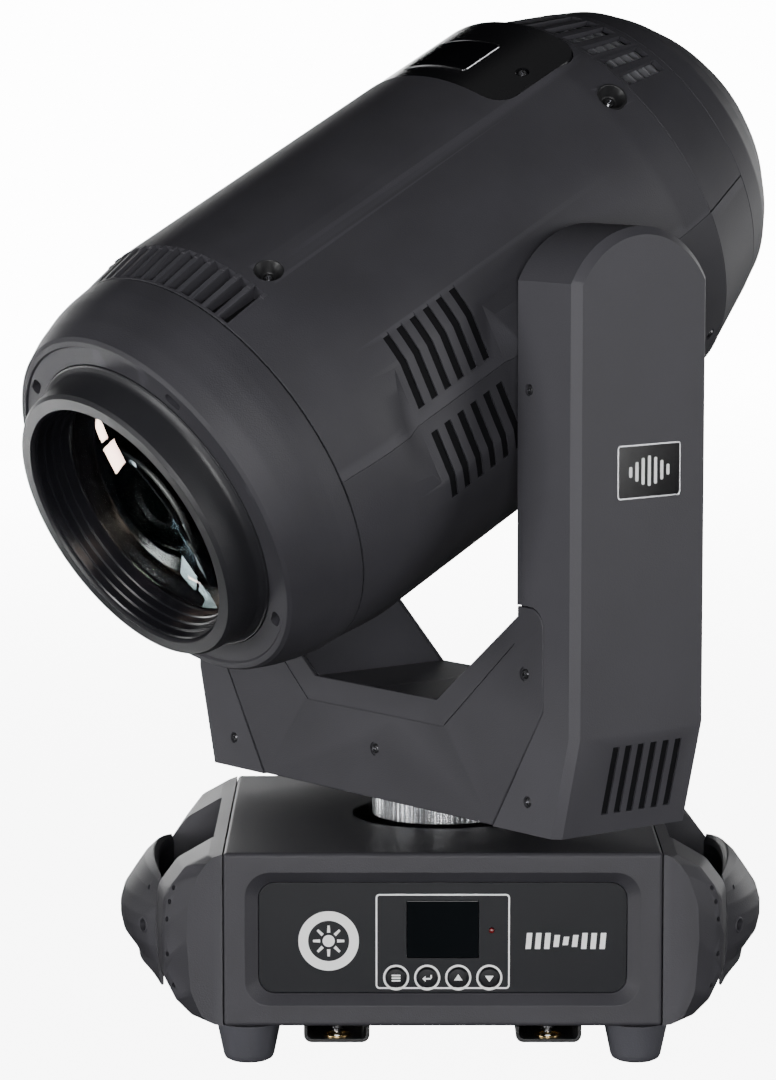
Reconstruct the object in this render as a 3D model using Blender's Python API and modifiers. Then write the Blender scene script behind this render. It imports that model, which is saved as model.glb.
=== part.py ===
"""A moving head stage light: a base with side handles, a panning yoke and a tilting optical head.

The base's front faces -Y and the origin is on the pan axis, at the underside of the base.
The yoke is modelled under an empty on the pan axis, and the head under one on the optical axis,
whose +Z points out of the front lens and whose +Y is the head's upper side.
Lengths are in metres and angles in degrees.
"""

import math

import bmesh
import bpy
from mathutils import Matrix

# ---- driving dimensions ----------------------------------------------------------------------
GAP = 0.0003  # clearance between neighbouring solids
MERGE = 0.00001  # weld distance

BASE_HALF_WIDTH = 0.1235
BASE_HALF_DEPTH = 0.124
BASE_HEIGHT = 0.0995
BASE_WALL = 0.003
BASE_FRONT_WALL = 0.008
FOOT_HEIGHT = 0.0225
FOOT_X = 0.1096
FOOT_Y = 0.1055

PANEL_CENTRE_Z = 0.05025
PANEL_HALF_WIDTH = 0.1038
PANEL_HALF_HEIGHT = 0.0318
PANEL_CORNER = 0.0095
PANEL_BEVEL = 0.0075
PANEL_DEPTH = 0.005
BUTTON_Z = 0.0273
BUTTON_PITCH = 0.0175
BUTTON_RADIUS = 0.0058
BUTTON_TRAVEL = 0.0008

CONNECTOR_Z = 0.05
HANDLE_HALF_LENGTH = 0.062

PAN_ANGLE = -51.4
YOKE_BOTTOM = 0.1131
YOKE_HALF_DEPTH = 0.0495
ARM_INNER = 0.1273
ARM_OUTER = 0.1760
ARM_FOOT_OUTER = 0.1612
ARM_KINK_Z = 0.1712
ARM_CHAMFER = 0.0045
ARM_ARC_RADIUS = 0.056
ARM_ARC_Z = 0.3945
ARM_WALL = 0.003
COVER_THICKNESS = 0.003
NOTCH_HALF_WIDTH = 0.0567
NOTCH_Z = 0.1789
NOTCH_TOP_Z = 0.2346

TILT_AXIS_Z = 0.4017
TILT_ANGLE = 27.3  # the lens points this far below the horizon
HEAD_RADIUS = 0.124
HEAD_WALL = 0.003
HEAD_SEGMENTS = 40
VENT_PITCH = 0.01035
TRUNNION_HOLE = 0.0185
PAD_X = 0.1186

BELT_TEETH = 72
PULLEY_RADIUS = 0.040
MOTOR_PULLEY_RADIUS = 0.0083
BELT_THICKNESS = 0.0016
BELT_Z = 0.1222  # mid height of the pan belt
SHAFT_RADIUS = 0.0115
PAN_MOTOR_X = -0.084
TILT_MOTOR_Z = 0.262
TILT_BELT_X = 0.141  # mid width of the tilt belt, inside the right arm

WHEEL_OFFSET = 0.046
WHEEL_RADIUS = 0.060
ROD_X = 0.090
ROD_RADIUS = 0.004
PRISM_PIVOT = (-0.062, 0.062)
PRISM_SWING = 50.0

COLOURS = {
    "housing": ((0.060, 0.058, 0.066), 0.55, 0.0),
    "gloss": ((0.012, 0.012, 0.014), 0.12, 0.0),
    "panel": ((0.020, 0.022, 0.028), 0.40, 0.0),
    "rubber": ((0.075, 0.077, 0.090), 0.75, 0.0),
    "steel": ((0.55, 0.55, 0.56), 0.30, 1.0),
    "aluminium": ((0.72, 0.73, 0.75), 0.28, 1.0),
    "black_metal": ((0.025, 0.025, 0.028), 0.45, 0.6),
    "glass": ((0.80, 0.88, 0.88), 0.03, 0.0),
    "led": ((0.45, 0.02, 0.02), 0.25, 0.0),
    "board": ((0.02, 0.10, 0.05), 0.50, 0.0),
}


# ---- scene helpers ---------------------------------------------------------------------------
def clear_scene():
    for item in list(bpy.data.objects):
        bpy.data.objects.remove(item)


def collection(name):
    found = bpy.data.collections.get(name) or bpy.data.collections.new(name)
    if name not in bpy.context.scene.collection.children:
        bpy.context.scene.collection.children.link(found)
    return found


def material(name):
    found = bpy.data.materials.get(name)
    if found:
        return found
    colour, roughness, metallic = COLOURS[name]
    found = bpy.data.materials.new(name)
    found.use_nodes = True
    shader = found.node_tree.nodes["Principled BSDF"]
    shader.inputs["Base Color"].default_value = (*colour, 1.0)
    shader.inputs["Roughness"].default_value = roughness
    shader.inputs["Metallic"].default_value = metallic
    return found


def place(item, parent, location=(0, 0, 0), rotation=(0, 0, 0)):
    item.parent = parent
    item.location = location
    item.rotation_euler = [math.radians(angle) for angle in rotation]
    return item


def node(name, mesh, look, parent, location=(0, 0, 0), rotation=(0, 0, 0)):
    item = bpy.data.objects.new(name, mesh)
    collection("moving_head_light").objects.link(item)
    mesh.materials.clear()
    mesh.materials.append(material(look))
    return place(item, parent, location, rotation)


def empty(name, parent, location, rotation):
    item = bpy.data.objects.new(name, None)
    collection("moving_head_light").objects.link(item)
    return place(item, parent, location, rotation)


def as_cutter(item):
    """Turn an object into a guide that only a Boolean reads."""
    for owner in list(item.users_collection):
        owner.objects.unlink(item)
    collection("cutters").objects.link(item)
    item.hide_render = True
    item.display_type = "WIRE"
    return item


def combine(item, other, operation):
    modifier = item.modifiers.new(other.name, "BOOLEAN")
    modifier.object = other
    modifier.operation = operation
    return item


def cut(item, *cutters):
    for cutter in cutters:
        combine(item, as_cutter(cutter), "DIFFERENCE")
    return item


def unite(item, *others):
    for other in others:
        combine(item, as_cutter(other), "UNION")
    return item


def bevel(item, width, segments=2, angle=40):
    modifier = item.modifiers.new("bevel", "BEVEL")
    modifier.width = width
    modifier.segments = segments
    modifier.limit_method = "ANGLE"
    modifier.angle_limit = math.radians(angle)
    return item


def mesh_from(name, form):
    bmesh.ops.recalc_face_normals(form, faces=form.faces)
    mesh = bpy.data.meshes.new(name)
    form.to_mesh(mesh)
    form.free()
    return mesh


# ---- shape helpers ---------------------------------------------------------------------------
def box(name, look, parent, low, high):
    """A box between two corners, with its origin at its centre."""
    size = [b - a for a, b in zip(low, high)]
    centre = [(a + b) / 2 for a, b in zip(low, high)]
    form = bmesh.new()
    bmesh.ops.create_cube(form, size=1.0, matrix=Matrix.Diagonal((*size, 1.0)))
    return node(name, mesh_from(name, form), look, parent, centre)


def boxes(name, parent, matrices):
    """Separate unit cubes under the given matrices, in one mesh: a set of slots to cut."""
    form = bmesh.new()
    for matrix in matrices:
        bmesh.ops.create_cube(form, size=1.0, matrix=matrix)
    return node(name, mesh_from(name, form), "housing", parent)


def turned(name, look, parent, profile, segments, location=(0, 0, 0), rotation=(0, 0, 0), closed=True):
    """Turn a profile of (radius, height) about local Z; closed joins its last point to its first."""
    mesh = bpy.data.meshes.new(name)
    count = len(profile)
    edges = [(i, i + 1) for i in range(count - 1)]
    if closed:
        edges.append((count - 1, 0))
    mesh.from_pydata([(radius, 0, height) for radius, height in profile], edges, [])
    item = node(name, mesh, look, parent, location, rotation)
    screw = item.modifiers.new("turn", "SCREW")
    screw.steps = segments
    screw.render_steps = segments
    screw.use_merge_vertices = True
    screw.merge_threshold = MERGE
    screw.use_smooth_shade = True
    return item


def cylinder(name, look, parent, radius, low, high, segments=32, location=(0, 0, 0), rotation=(0, 0, 0)):
    """A cylinder along local Z from low to high."""
    form = bmesh.new()
    bmesh.ops.create_cone(
        form, cap_ends=True, segments=segments, radius1=radius, radius2=radius, depth=high - low,
        matrix=Matrix.Translation((0, 0, (low + high) / 2)),
    )
    return node(name, mesh_from(name, form), look, parent, location, rotation)


def plate(name, look, parent, loops, thickness, location=(0, 0, 0), rotation=(0, 0, 0)):
    """A flat outline with holes, drawn as a filled 2D curve and turned into a mesh."""
    curve = bpy.data.curves.new(name + "_outline", "CURVE")
    curve.dimensions = "2D"
    curve.fill_mode = "BOTH"
    curve.extrude = thickness / 2
    for loop in loops:
        spline = curve.splines.new("POLY")
        spline.points.add(len(loop) - 1)
        spline.use_cyclic_u = True
        for point, (x, y) in zip(spline.points, loop):
            point.co = (x, y, 0, 1)
    guide = bpy.data.objects.new(name + "_outline", curve)
    bpy.context.scene.collection.objects.link(guide)
    graph = bpy.context.evaluated_depsgraph_get()
    mesh = bpy.data.meshes.new_from_object(guide.evaluated_get(graph))
    bpy.data.objects.remove(guide)
    form = bmesh.new()
    form.from_mesh(mesh)
    bmesh.ops.remove_doubles(form, verts=form.verts, dist=MERGE)
    return node(name, mesh_from(name, form), look, parent, location, rotation)


def loft(name, look, parent, sections, location=(0, 0, 0), rotation=(0, 0, 0)):
    """Join closed sections of equal point count, with flat ends."""
    form = bmesh.new()
    rings = [[form.verts.new(point) for point in section] for section in sections]
    count = len(rings[0])
    for lower, upper in zip(rings, rings[1:]):
        for i in range(count):
            j = (i + 1) % count
            form.faces.new((lower[i], lower[j], upper[j], upper[i]))
    form.faces.new(rings[0])
    form.faces.new(rings[-1])
    return node(name, mesh_from(name, form), look, parent, location, rotation)


def arc(cx, cy, radius, start, end, steps):
    angles = [math.radians(start + (end - start) * i / steps) for i in range(steps + 1)]
    return [(cx + radius * math.cos(a), cy + radius * math.sin(a)) for a in angles]


def circle(radius, steps=24, cx=0.0, cy=0.0):
    return arc(cx, cy, radius, 0, 360, steps)[:-1]


def rounded_rectangle(half_width, half_height, corner, steps=5, cx=0.0, cy=0.0):
    x, y = half_width - corner, half_height - corner
    points = []
    for turn, (sx, sy) in enumerate([(1, 1), (-1, 1), (-1, -1), (1, -1)]):
        points += arc(cx + sx * x, cy + sy * y, corner, 90 * turn, 90 * turn + 90, steps)
    return points


def toothed(teeth, tip, root):
    """The outline of a belt pulley: a tip and a root point for each tooth."""
    points = []
    for step in range(2 * teeth):
        radius = root if step % 2 else tip
        angle = math.pi * step / teeth
        points.append((radius * math.cos(angle), radius * math.sin(angle)))
    return points


def belt_loop(big, small, distance, steps=20):
    """A loop round a big circle at the origin and a small one at +X, as tangent arcs."""
    lean = math.degrees(math.acos((big - small) / distance))
    points = arc(0, 0, big, lean, 360 - lean, steps)
    return points + arc(distance, 0, small, -lean, lean, steps // 2)


def swapped(side, points):
    """Mirror (x, z) points to the side's sign."""
    return [(side * x, z) for x, z in points]


# ---- base ------------------------------------------------------------------------------------
def base_housing(parent):
    shell = box(
        "base_shell", "housing", parent,
        (-BASE_HALF_WIDTH, -BASE_HALF_DEPTH, GAP), (BASE_HALF_WIDTH, BASE_HALF_DEPTH, BASE_HEIGHT),
    )
    bevel(shell, 0.0025, 2)
    inner_x = BASE_HALF_WIDTH - BASE_WALL
    inner_y = BASE_HALF_DEPTH - BASE_WALL
    front_y = BASE_HALF_DEPTH - BASE_FRONT_WALL
    cavity = box(
        "base_cavity", "housing", parent,
        (-inner_x, -front_y, -0.01), (inner_x, inner_y, BASE_HEIGHT - BASE_WALL),
    )
    opening = rounded_rectangle(PANEL_HALF_WIDTH, PANEL_HALF_HEIGHT, PANEL_CORNER)
    mouth = rounded_rectangle(
        PANEL_HALF_WIDTH + PANEL_BEVEL, PANEL_HALF_HEIGHT + PANEL_BEVEL * 0.85,
        PANEL_CORNER + PANEL_BEVEL / 2,
    )
    floor_y = PANEL_DEPTH - BASE_HALF_DEPTH
    flare = 1.2  # the bevel's loft starts in front of the face, widened to keep its slope
    sections = [
        [(x * 1.0, floor_y + 0.006, z + PANEL_CENTRE_Z) for x, z in opening],
        [(x, floor_y, z + PANEL_CENTRE_Z) for x, z in opening],
        [
            (a + (b - a) * flare, floor_y - PANEL_DEPTH * flare, c + (d - c) * flare + PANEL_CENTRE_Z)
            for (a, c), (b, d) in zip(opening, mouth)
        ],
    ]
    window = loft("panel_window", "housing", parent, sections)
    rear = box("rear_window", "housing", parent, (-0.095, 0.115, 0.022), (0.095, 0.130, 0.078))
    hole = cylinder("pan_hole", "housing", parent, 0.027, 0.08, 0.12, 32)
    cut(shell, cavity, window, rear, hole)
    margin = GAP + 0.0002
    box(
        "base_bottom_plate", "black_metal", parent,
        (margin - inner_x, margin - front_y, 0), (inner_x - margin, inner_y - margin, 0.0025),
    )
    foot_profile = [
        (0, -GAP), (0.0183, -GAP), (0.0144, -0.0190), (0.0130, -0.0214), (0.0108, -FOOT_HEIGHT),
        (0, -FOOT_HEIGHT),
    ]
    for depth, sy in (("front", -1), ("rear", 1)):
        for side, sx in (("left", -1), ("right", 1)):
            turned(
                f"foot_{depth}_{side}", "rubber", parent, foot_profile, 24,
                (sx * FOOT_X, sy * FOOT_Y, 0), closed=False,
            )


def omega_rails(parent):
    """Two folded channels under the base that take the clamp brackets' quarter-turn locks."""
    half, drop, wall, corner = 0.0186, 0.0096, 0.002, 0.005
    outer = [(-half, -GAP)] + arc(-half + corner, corner - drop, corner, 180, 270, 4)
    outer += arc(half - corner, corner - drop, corner, 270, 360, 4) + [(half, -GAP)]
    inner_radius = corner - wall
    inner = [(half - wall, -GAP)]
    inner += arc(half - corner, corner - drop, inner_radius, 360, 270, 4)
    inner += arc(corner - half, corner - drop, inner_radius, 270, 180, 4) + [(wall - half, -GAP)]
    length = 2 * (BASE_HALF_DEPTH - 0.003)
    for side, sx in (("left", -1), ("right", 1)):
        plate(
            f"omega_rail_{side}", "black_metal", parent, [outer + inner], length,
            (sx * 0.0597, 0, 0), (90, 0, 0),
        )


def control_panel(parent):
    front = PANEL_DEPTH - BASE_HALF_DEPTH
    screen_half = (0.02025, 0.0163)
    screen_z = 0.0549
    led = (0.0275, 0.0543)
    keys = [(BUTTON_PITCH * (i - 1.5), BUTTON_Z) for i in range(4)]
    loops = [
        rounded_rectangle(PANEL_HALF_WIDTH - GAP, PANEL_HALF_HEIGHT - GAP, PANEL_CORNER - GAP),
        rounded_rectangle(
            screen_half[0] + GAP, screen_half[1] + GAP, 0.001, 2, 0, screen_z - PANEL_CENTRE_Z
        ),
        circle(0.0019, 12, led[0], led[1] - PANEL_CENTRE_Z),
    ]
    loops += [circle(BUTTON_RADIUS + 0.0004, 24, x, z - PANEL_CENTRE_Z) for x, z in keys]
    plate(
        "control_panel", "panel", parent, loops, 0.003,
        (0, front + 0.0015 + GAP, PANEL_CENTRE_Z), (90, 0, 0),
    )
    box(
        "display_screen", "gloss", parent,
        (-screen_half[0], front + 0.0008, screen_z - screen_half[1]),
        (screen_half[0], front + 0.0075, screen_z + screen_half[1]),
    )
    led_profile = [
        (0, 0.0012), (0.0008, 0.0010), (0.0014, 0.0004), (0.0015, 0), (0.0015, -0.006), (0, -0.006)
    ]
    turned(
        "status_led", "led", parent, led_profile, 16, (led[0], front, led[1]), (90, 0, 0), closed=False
    )
    button_profile = [
        (0, 0.0014), (0.0050, 0.0010), (BUTTON_RADIUS, 0.0001), (BUTTON_RADIUS, -0.0036),
        (0.0072, -0.0036), (0.0072, -0.0052), (0, -0.0052),
    ]
    names = ("menu", "enter", "up", "down")
    for name, (x, z) in zip(names, keys):
        turned(
            f"button_{name}", "panel", parent, button_profile, 20, (x, front, z), (90, 0, 0),
            closed=False,
        )


def rear_connectors(parent):
    """Mains inlet and two data sockets, each an open cup through the rear panel."""
    back = BASE_HALF_DEPTH
    inlet_x, data_x = -0.062, (0.015, 0.060)
    inlet_half, socket_radius = (0.0135, 0.0100), 0.0115
    loops = [
        rounded_rectangle(0.095 - GAP, 0.028 - GAP, 0.002, 2),
        rounded_rectangle(inlet_half[0] + GAP, inlet_half[1] + GAP, 0.002, 2, -inlet_x, 0),
    ]
    loops += [circle(socket_radius + GAP, 24, -x, 0) for x in data_x]
    plate(
        "rear_panel", "black_metal", parent, loops, 0.002,
        (0, back - 0.0012, CONNECTOR_Z), (90, 0, 180),
    )
    inlet = box(
        "power_inlet", "panel", parent,
        (inlet_x - inlet_half[0], back - 0.020, CONNECTOR_Z - inlet_half[1]),
        (inlet_x + inlet_half[0], back + 0.0012, CONNECTOR_Z + inlet_half[1]),
    )
    bevel(inlet, 0.0015, 2)
    pocket = box(
        "inlet_pocket", "panel", parent,
        (inlet_x - 0.0115, back - 0.015, CONNECTOR_Z - 0.008),
        (inlet_x + 0.0115, back + 0.01, CONNECTOR_Z + 0.008),
    )
    cut(inlet, pocket)
    cup = [
        (socket_radius, 0.0012), (socket_radius, -0.020), (0, -0.020), (0, -0.014),
        (0.0095, -0.014), (0.0095, 0.0012),
    ]
    for name, x in zip(("dmx_input", "dmx_output"), data_x):
        turned(name, "black_metal", parent, cup, 24, (x, back, CONNECTOR_Z), (-90, 0, 0), closed=True)


def end_caps(parent):
    """Side mouldings: two shoulders with an open gap between them, bridged by a bowed handle."""
    seam = BASE_HALF_WIDTH + GAP
    slim = [(5, 1.5), (12, 6), (18, 20), (20.2, 50), (19.5, 70), (14, 86), (9, 93), (5, 97)]
    fuller = [(8, 1.5), (17, 3.5), (27, 12), (34, 27), (35.5, 50), (33.5, 74), (22, 89), (8, 96.5)]
    full = [(8, 1.5), (24, 3), (33, 10), (39, 22), (40, 50), (39.3, 70), (28, 85), (8.6, 96.3)]
    stations = [(-0.1237, slim), (-0.108, fuller), (-0.066, full)]
    stations += [(-y, outline) for y, outline in reversed(stations)]
    millimetre = 0.001
    for side, sx in (("left", -1), ("right", 1)):
        sections = []
        for y, outline in stations:
            points = [(0, 0.5)] + outline + [(0, 98.8)]
            sections.append([(sx * (seam + x * millimetre), y, z * millimetre) for x, z in points])
        cap = loft(f"end_cap_{side}", "housing", parent, sections)
        near, far = sorted((sx * 0.131, sx * 0.19))
        gap = box(
            f"cap_gap_{side}", "housing", parent,
            (near, -HANDLE_HALF_LENGTH - GAP, -0.01), (far, HANDLE_HALF_LENGTH + GAP, 0.12),
        )
        near, far = sorted((sx * (seam - 0.01), sx * (seam + 0.016)))
        hollows = [
            box(f"cap_hollow_{side}_{depth}", "housing", parent, (near, y0, 0.012), (far, y1, 0.080))
            for depth, y0, y1 in (("front", -0.116, -0.066), ("rear", 0.066, 0.116))
        ]
        cut(cap, gap, *hollows)
        handle = loft(f"carry_handle_{side}", "housing", parent, handle_sections(sx))
        bevel(handle, 0.0012, 1, 60)


def handle_sections(side):
    """The handle's C-shaped section, drawn in towards the shoulders at both ends."""
    outer = [
        (165.5, 77.5), (168.5, 80.3), (174, 75.5), (180, 67), (186, 58), (188.5, 49),
        (188.5, 41), (186.5, 32.5), (178.5, 22.5), (177.5, 17), (168, 9.5),
    ]
    inner = [
        (163, 11), (170, 21), (177, 31), (180, 41), (180, 50), (177.5, 57.5), (171.5, 66.5), (165, 73),
    ]
    sections = []
    for y in (-62, -54, -38, -16, 16, 38, 54, 62):
        drop = (y / 64) ** 2
        section = []
        for share, points in ((1.0, outer), (1.2, inner)):
            for x, z in points:
                inward = 25 * share * drop * min(1.0, max(0.0, (x - 160) / 28.5))
                lower = 5 * drop * max(0.0, (z - 45) / 32)
                section.append((side * (x - inward) * 0.001, y * 0.001, (z - lower) * 0.001))
        sections.append(section)
    return sections


def base_internals(parent):
    supply = box("power_supply", "aluminium", parent, (-0.085, 0.010, 0.0029), (0.085, 0.095, 0.045))
    bevel(supply, 0.0015, 1)
    shaft = [
        (SHAFT_RADIUS, 0.150), (SHAFT_RADIUS, 0.0995), (0.0195, 0.0995), (0.0195, 0.0962),
        (0.034, 0.0962), (0.034, 0.086), (0.008, 0.086), (0.008, 0.150),
    ]
    turned("pan_shaft", "aluminium", parent, shaft, 24)
    low, high = 0.0998, 0.1276
    plate(
        "pan_pulley", "aluminium", parent,
        [toothed(BELT_TEETH, PULLEY_RADIUS, PULLEY_RADIUS - 0.0014), circle(0.012, 24)],
        high - low, (0, 0, (low + high) / 2),
    )


def build_base():
    frame = empty("base_frame", None, (0, 0, 0), (0, 0, 0))
    base_housing(frame)
    omega_rails(frame)
    control_panel(frame)
    rear_connectors(frame)
    end_caps(frame)
    base_internals(frame)


# ---- yoke ------------------------------------------------------------------------------------
def cover_outline():
    """Front view of the yoke's cover plates, from the bottom right corner and round."""
    tab_x, tab_low, tab_radius = 0.1498, 0.1832, 0.0115
    tab_top = 0.2406
    half = [(0.1063, YOKE_BOTTOM), (tab_x, tab_low)]
    half += arc(tab_x - tab_radius, tab_top - tab_radius, tab_radius, 0, 90, 4)
    half += [(ARM_INNER, tab_top), (ARM_INNER, NOTCH_TOP_Z), (NOTCH_HALF_WIDTH, NOTCH_Z)]
    return half + [(-x, z) for x, z in reversed(half)]


def grown(points, amount):
    """Push a closed outline outward by an amount, corner by corner."""
    area = sum(a[0] * b[1] - b[0] * a[1] for a, b in zip(points, points[1:] + points[:1]))
    turn = 1 if area > 0 else -1
    out = []
    count = len(points)
    for i, (x, y) in enumerate(points):
        before, after = points[i - 1], points[(i + 1) % count]
        normals = []
        for (ax, ay), (bx, by) in ((before, (x, y)), ((x, y), after)):
            length = math.hypot(bx - ax, by - ay)
            normals.append((turn * (by - ay) / length, turn * (ax - bx) / length))
        nx, ny = normals[0][0] + normals[1][0], normals[0][1] + normals[1][1]
        scale = 2 * amount / (nx * nx + ny * ny)
        out.append((x + nx * scale, y + ny * scale))
    return out


def yoke_covers(parent):
    outline = cover_outline()
    middle = YOKE_HALF_DEPTH - COVER_THICKNESS / 2
    for name, y in (("front", -middle), ("rear", middle)):
        plate(
            f"yoke_cover_{name}", "housing", parent, [outline], COVER_THICKNESS, (0, y, 0), (90, 0, 0)
        )
    top = [(-ARM_INNER + 0.001, NOTCH_TOP_Z - 0.001), (-NOTCH_HALF_WIDTH, NOTCH_Z)]
    top += [(-x, z) for x, z in reversed(top)]
    sheet = [(x, z) for x, z in top] + [(x, z - 0.003) for x, z in reversed(top)]
    plate(
        "beam_top_cover", "housing", parent, [sheet],
        2 * (YOKE_HALF_DEPTH - COVER_THICKNESS - GAP), (0, 0, 0), (90, 0, 0),
    )


def yoke_beam(parent):
    """The chassis tray across the yoke, with the bridge that holds the pan bearing."""
    half_x, half_y, top = 0.1045, 0.0458, 0.170
    sheet = 0.003
    tray = box(
        "yoke_beam", "black_metal", parent, (-half_x, -half_y, YOKE_BOTTOM), (half_x, half_y, top)
    )
    hollow = box(
        "beam_hollow", "black_metal", parent,
        (-half_x + sheet, -half_y + sheet, 0.1161), (half_x - sheet, half_y - sheet, 0.2),
    )
    throat = cylinder("beam_throat", "black_metal", parent, 0.0435, 0.10, 0.13, 40)
    cut(tray, hollow, throat)
    bridge = box(
        "bearing_bridge", "black_metal", parent, (-0.030, -0.0440, 0.131), (0.030, 0.0440, 0.139)
    )
    unite(tray, bridge)
    bore = cylinder("bearing_bore", "black_metal", parent, SHAFT_RADIUS + 0.0006, 0.12, 0.15, 24)
    cut(tray, bore)


def arm_section(inner, foot_inner, side, z):
    """One level of the arm cover: a rectangle whose outer corners are chamfered."""
    drop = max(0.0, (ARM_KINK_Z - z) / (ARM_KINK_Z - YOKE_BOTTOM))
    outer = ARM_OUTER + (ARM_FOOT_OUTER - ARM_OUTER) * drop
    near = inner + (foot_inner - inner) * drop
    rise = max(0.0, z - ARM_ARC_Z)
    half = min(YOKE_HALF_DEPTH, math.sqrt(max(0.0, ARM_ARC_RADIUS ** 2 - rise ** 2)))
    chamfer = min(ARM_CHAMFER, half * 0.9)
    outline = [
        (near, -half), (outer - chamfer, -half), (outer, -half + chamfer),
        (outer, half - chamfer), (outer - chamfer, half), (near, half),
    ]
    return [(side * x, y, z) for x, y in outline]


def yoke_arm(parent, name, side):
    edge = math.sqrt(ARM_ARC_RADIUS ** 2 - YOKE_HALF_DEPTH ** 2)
    start = math.degrees(math.asin(edge / ARM_ARC_RADIUS))
    arc_levels = [
        ARM_ARC_Z + ARM_ARC_RADIUS * math.sin(math.radians(start + (84 - start) * i / 8))
        for i in range(9)
    ]
    levels = [YOKE_BOTTOM, ARM_KINK_Z] + arc_levels
    cover = loft(
        f"arm_cover_{name}", "housing", parent,
        [arm_section(ARM_INNER, ARM_INNER, side, z) for z in levels],
    )
    lap, wedge_top = ARM_INNER + 0.004, 0.1457
    foot = [(lap, YOKE_BOTTOM), (0.1071, YOKE_BOTTOM), (ARM_INNER, wedge_top), (lap, wedge_top)]
    wedge = plate(
        f"arm_foot_{name}", "housing", parent, [swapped(side, foot)], 2 * YOKE_HALF_DEPTH,
        (0, 0, 0), (90, 0, 0),
    )
    unite(cover, wedge)
    inside = YOKE_HALF_DEPTH - ARM_WALL - COVER_THICKNESS - GAP
    cavity_outline = [
        (0.120, 0.1505), (0.120, 0.400), (ARM_OUTER - ARM_WALL, 0.400),
        (ARM_OUTER - ARM_WALL, ARM_KINK_Z), (ARM_FOOT_OUTER - ARM_WALL, YOKE_BOTTOM + ARM_WALL),
        (0.1145, YOKE_BOTTOM + ARM_WALL), (0.1345, 0.1505),
    ]
    cavity = plate(
        f"arm_cavity_{name}", "housing", parent, [swapped(side, cavity_outline)], 2 * inside,
        (0, 0, 0), (90, 0, 0),
    )
    crown = [(-inside, 0.39)] + [(inside, 0.39)]
    crown_radius = ARM_ARC_RADIUS - ARM_WALL
    lift = math.degrees(math.acos(inside / crown_radius))
    crown += arc(0, ARM_ARC_Z, crown_radius, lift, 180 - lift, 10)
    width = ARM_OUTER - ARM_WALL - 0.120
    dome = plate(
        f"arm_crown_{name}", "housing", parent, [crown], width,
        (side * (0.120 + width / 2), 0, 0), (90, 0, 90),
    )
    recess = [
        plate(
            f"arm_recess_{name}_{i}", "housing", parent, [grown(cover_outline(), GAP)], 0.02,
            (0, sign * (YOKE_HALF_DEPTH - COVER_THICKNESS - GAP + 0.01), 0), (90, 0, 0),
        )
        for i, sign in enumerate((-1, 1))
    ]
    slant = math.atan2(ARM_OUTER - ARM_FOOT_OUTER, ARM_KINK_Z - YOKE_BOTTOM)
    slots = []
    for i in range(6):
        spot = Matrix.Translation((side * 0.1700, -0.0166 + 0.0092 * i, 0.1437))
        lean = Matrix.Rotation(side * slant, 4, "Y")
        slots.append(spot @ lean @ Matrix.Diagonal((0.02, 0.0048, 0.040, 1)))
    vents = boxes(f"arm_vents_{name}", parent, slots)
    cut(cover, cavity, dome, *recess, vents)

    half = inside - GAP
    panel_radius = crown_radius - GAP
    lift = math.degrees(math.acos(half / panel_radius))
    outline = [(-half, 0.1508), (half, 0.1508)] + arc(0, ARM_ARC_Z, panel_radius, lift, 180 - lift, 10)
    plate(
        f"arm_frame_{name}", "black_metal", parent,
        [outline, circle(0.0165, 24, 0, TILT_AXIS_Z)], 0.003,
        (side * (ARM_INNER + 0.0018), 0, 0), (90, 0, 90),
    )


def belt_drive(parent, name, axis_place, rotation, distance, motor_size):
    """A stepper motor, its small pulley and the belt to a big pulley at axis_place."""
    carrier = empty(f"{name}_drive", parent, axis_place, rotation)
    half_belt = 0.0042
    small = MOTOR_PULLEY_RADIUS
    outer = belt_loop(PULLEY_RADIUS + GAP + BELT_THICKNESS, small + GAP + BELT_THICKNESS, distance)
    inner = belt_loop(PULLEY_RADIUS + GAP, small + GAP, distance)
    plate(f"{name}_belt", "rubber", carrier, [outer, inner], 2 * half_belt)
    flange, lip = small + 0.0028, half_belt + 0.0004
    profile = [
        (0, lip + 0.0012), (flange, lip + 0.0012), (flange, lip), (small, lip), (small, -lip),
        (flange, -lip), (flange, -lip - 0.0010), (0, -lip - 0.0010),
    ]
    turned(f"{name}_motor_pulley", "aluminium", carrier, profile, 24, (distance, 0, 0), closed=False)
    half = motor_size / 2
    length = 0.034 if name == "pan" else 0.024
    start = lip + 0.0012 + GAP
    motor = box(
        f"{name}_motor", "black_metal", carrier,
        (distance - half, -half, start), (distance + half, half, start + length),
    )
    bevel(motor, 0.004, 1)


def build_yoke():
    yoke = empty("pan_axis", None, (0, 0, 0), (0, 0, PAN_ANGLE))
    yoke_beam(yoke)
    yoke_covers(yoke)
    yoke_arm(yoke, "left", -1)
    yoke_arm(yoke, "right", 1)
    belt_drive(yoke, "pan", (0, 0, BELT_Z), (0, 0, 180), -PAN_MOTOR_X, 0.030)
    belt_drive(
        yoke, "tilt", (TILT_BELT_X, 0, TILT_AXIS_Z), (0, 90, 0), TILT_AXIS_Z - TILT_MOTOR_Z, 0.042
    )
    return yoke


# ---- head ------------------------------------------------------------------------------------
SHELL_OUTER = [(0.1195, 0.187), (HEAD_RADIUS, 0.158), (HEAD_RADIUS, -0.085), (0.1205, -0.113)]
REAR_OUTER = [(0.1200, -0.1133), (0.1045, -0.156)]


def ring_from(outer, wall):
    """A closed profile: the outer line downwards, then the same line inside, upwards."""
    return outer + [(radius - wall, height) for radius, height in reversed(outer)]


def radial_slots(name, parent, count, first, pitch, radius, middle, size):
    """Boxes set round the optical axis, long side along it."""
    matrices = []
    for i in range(count):
        turn = Matrix.Rotation(math.radians(first + pitch * i), 4, "Z")
        spot = Matrix.Translation((radius, 0, middle))
        matrices.append(turn @ spot @ Matrix.Diagonal((size[0], size[1], size[2], 1)))
    return boxes(name, parent, matrices)


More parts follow.
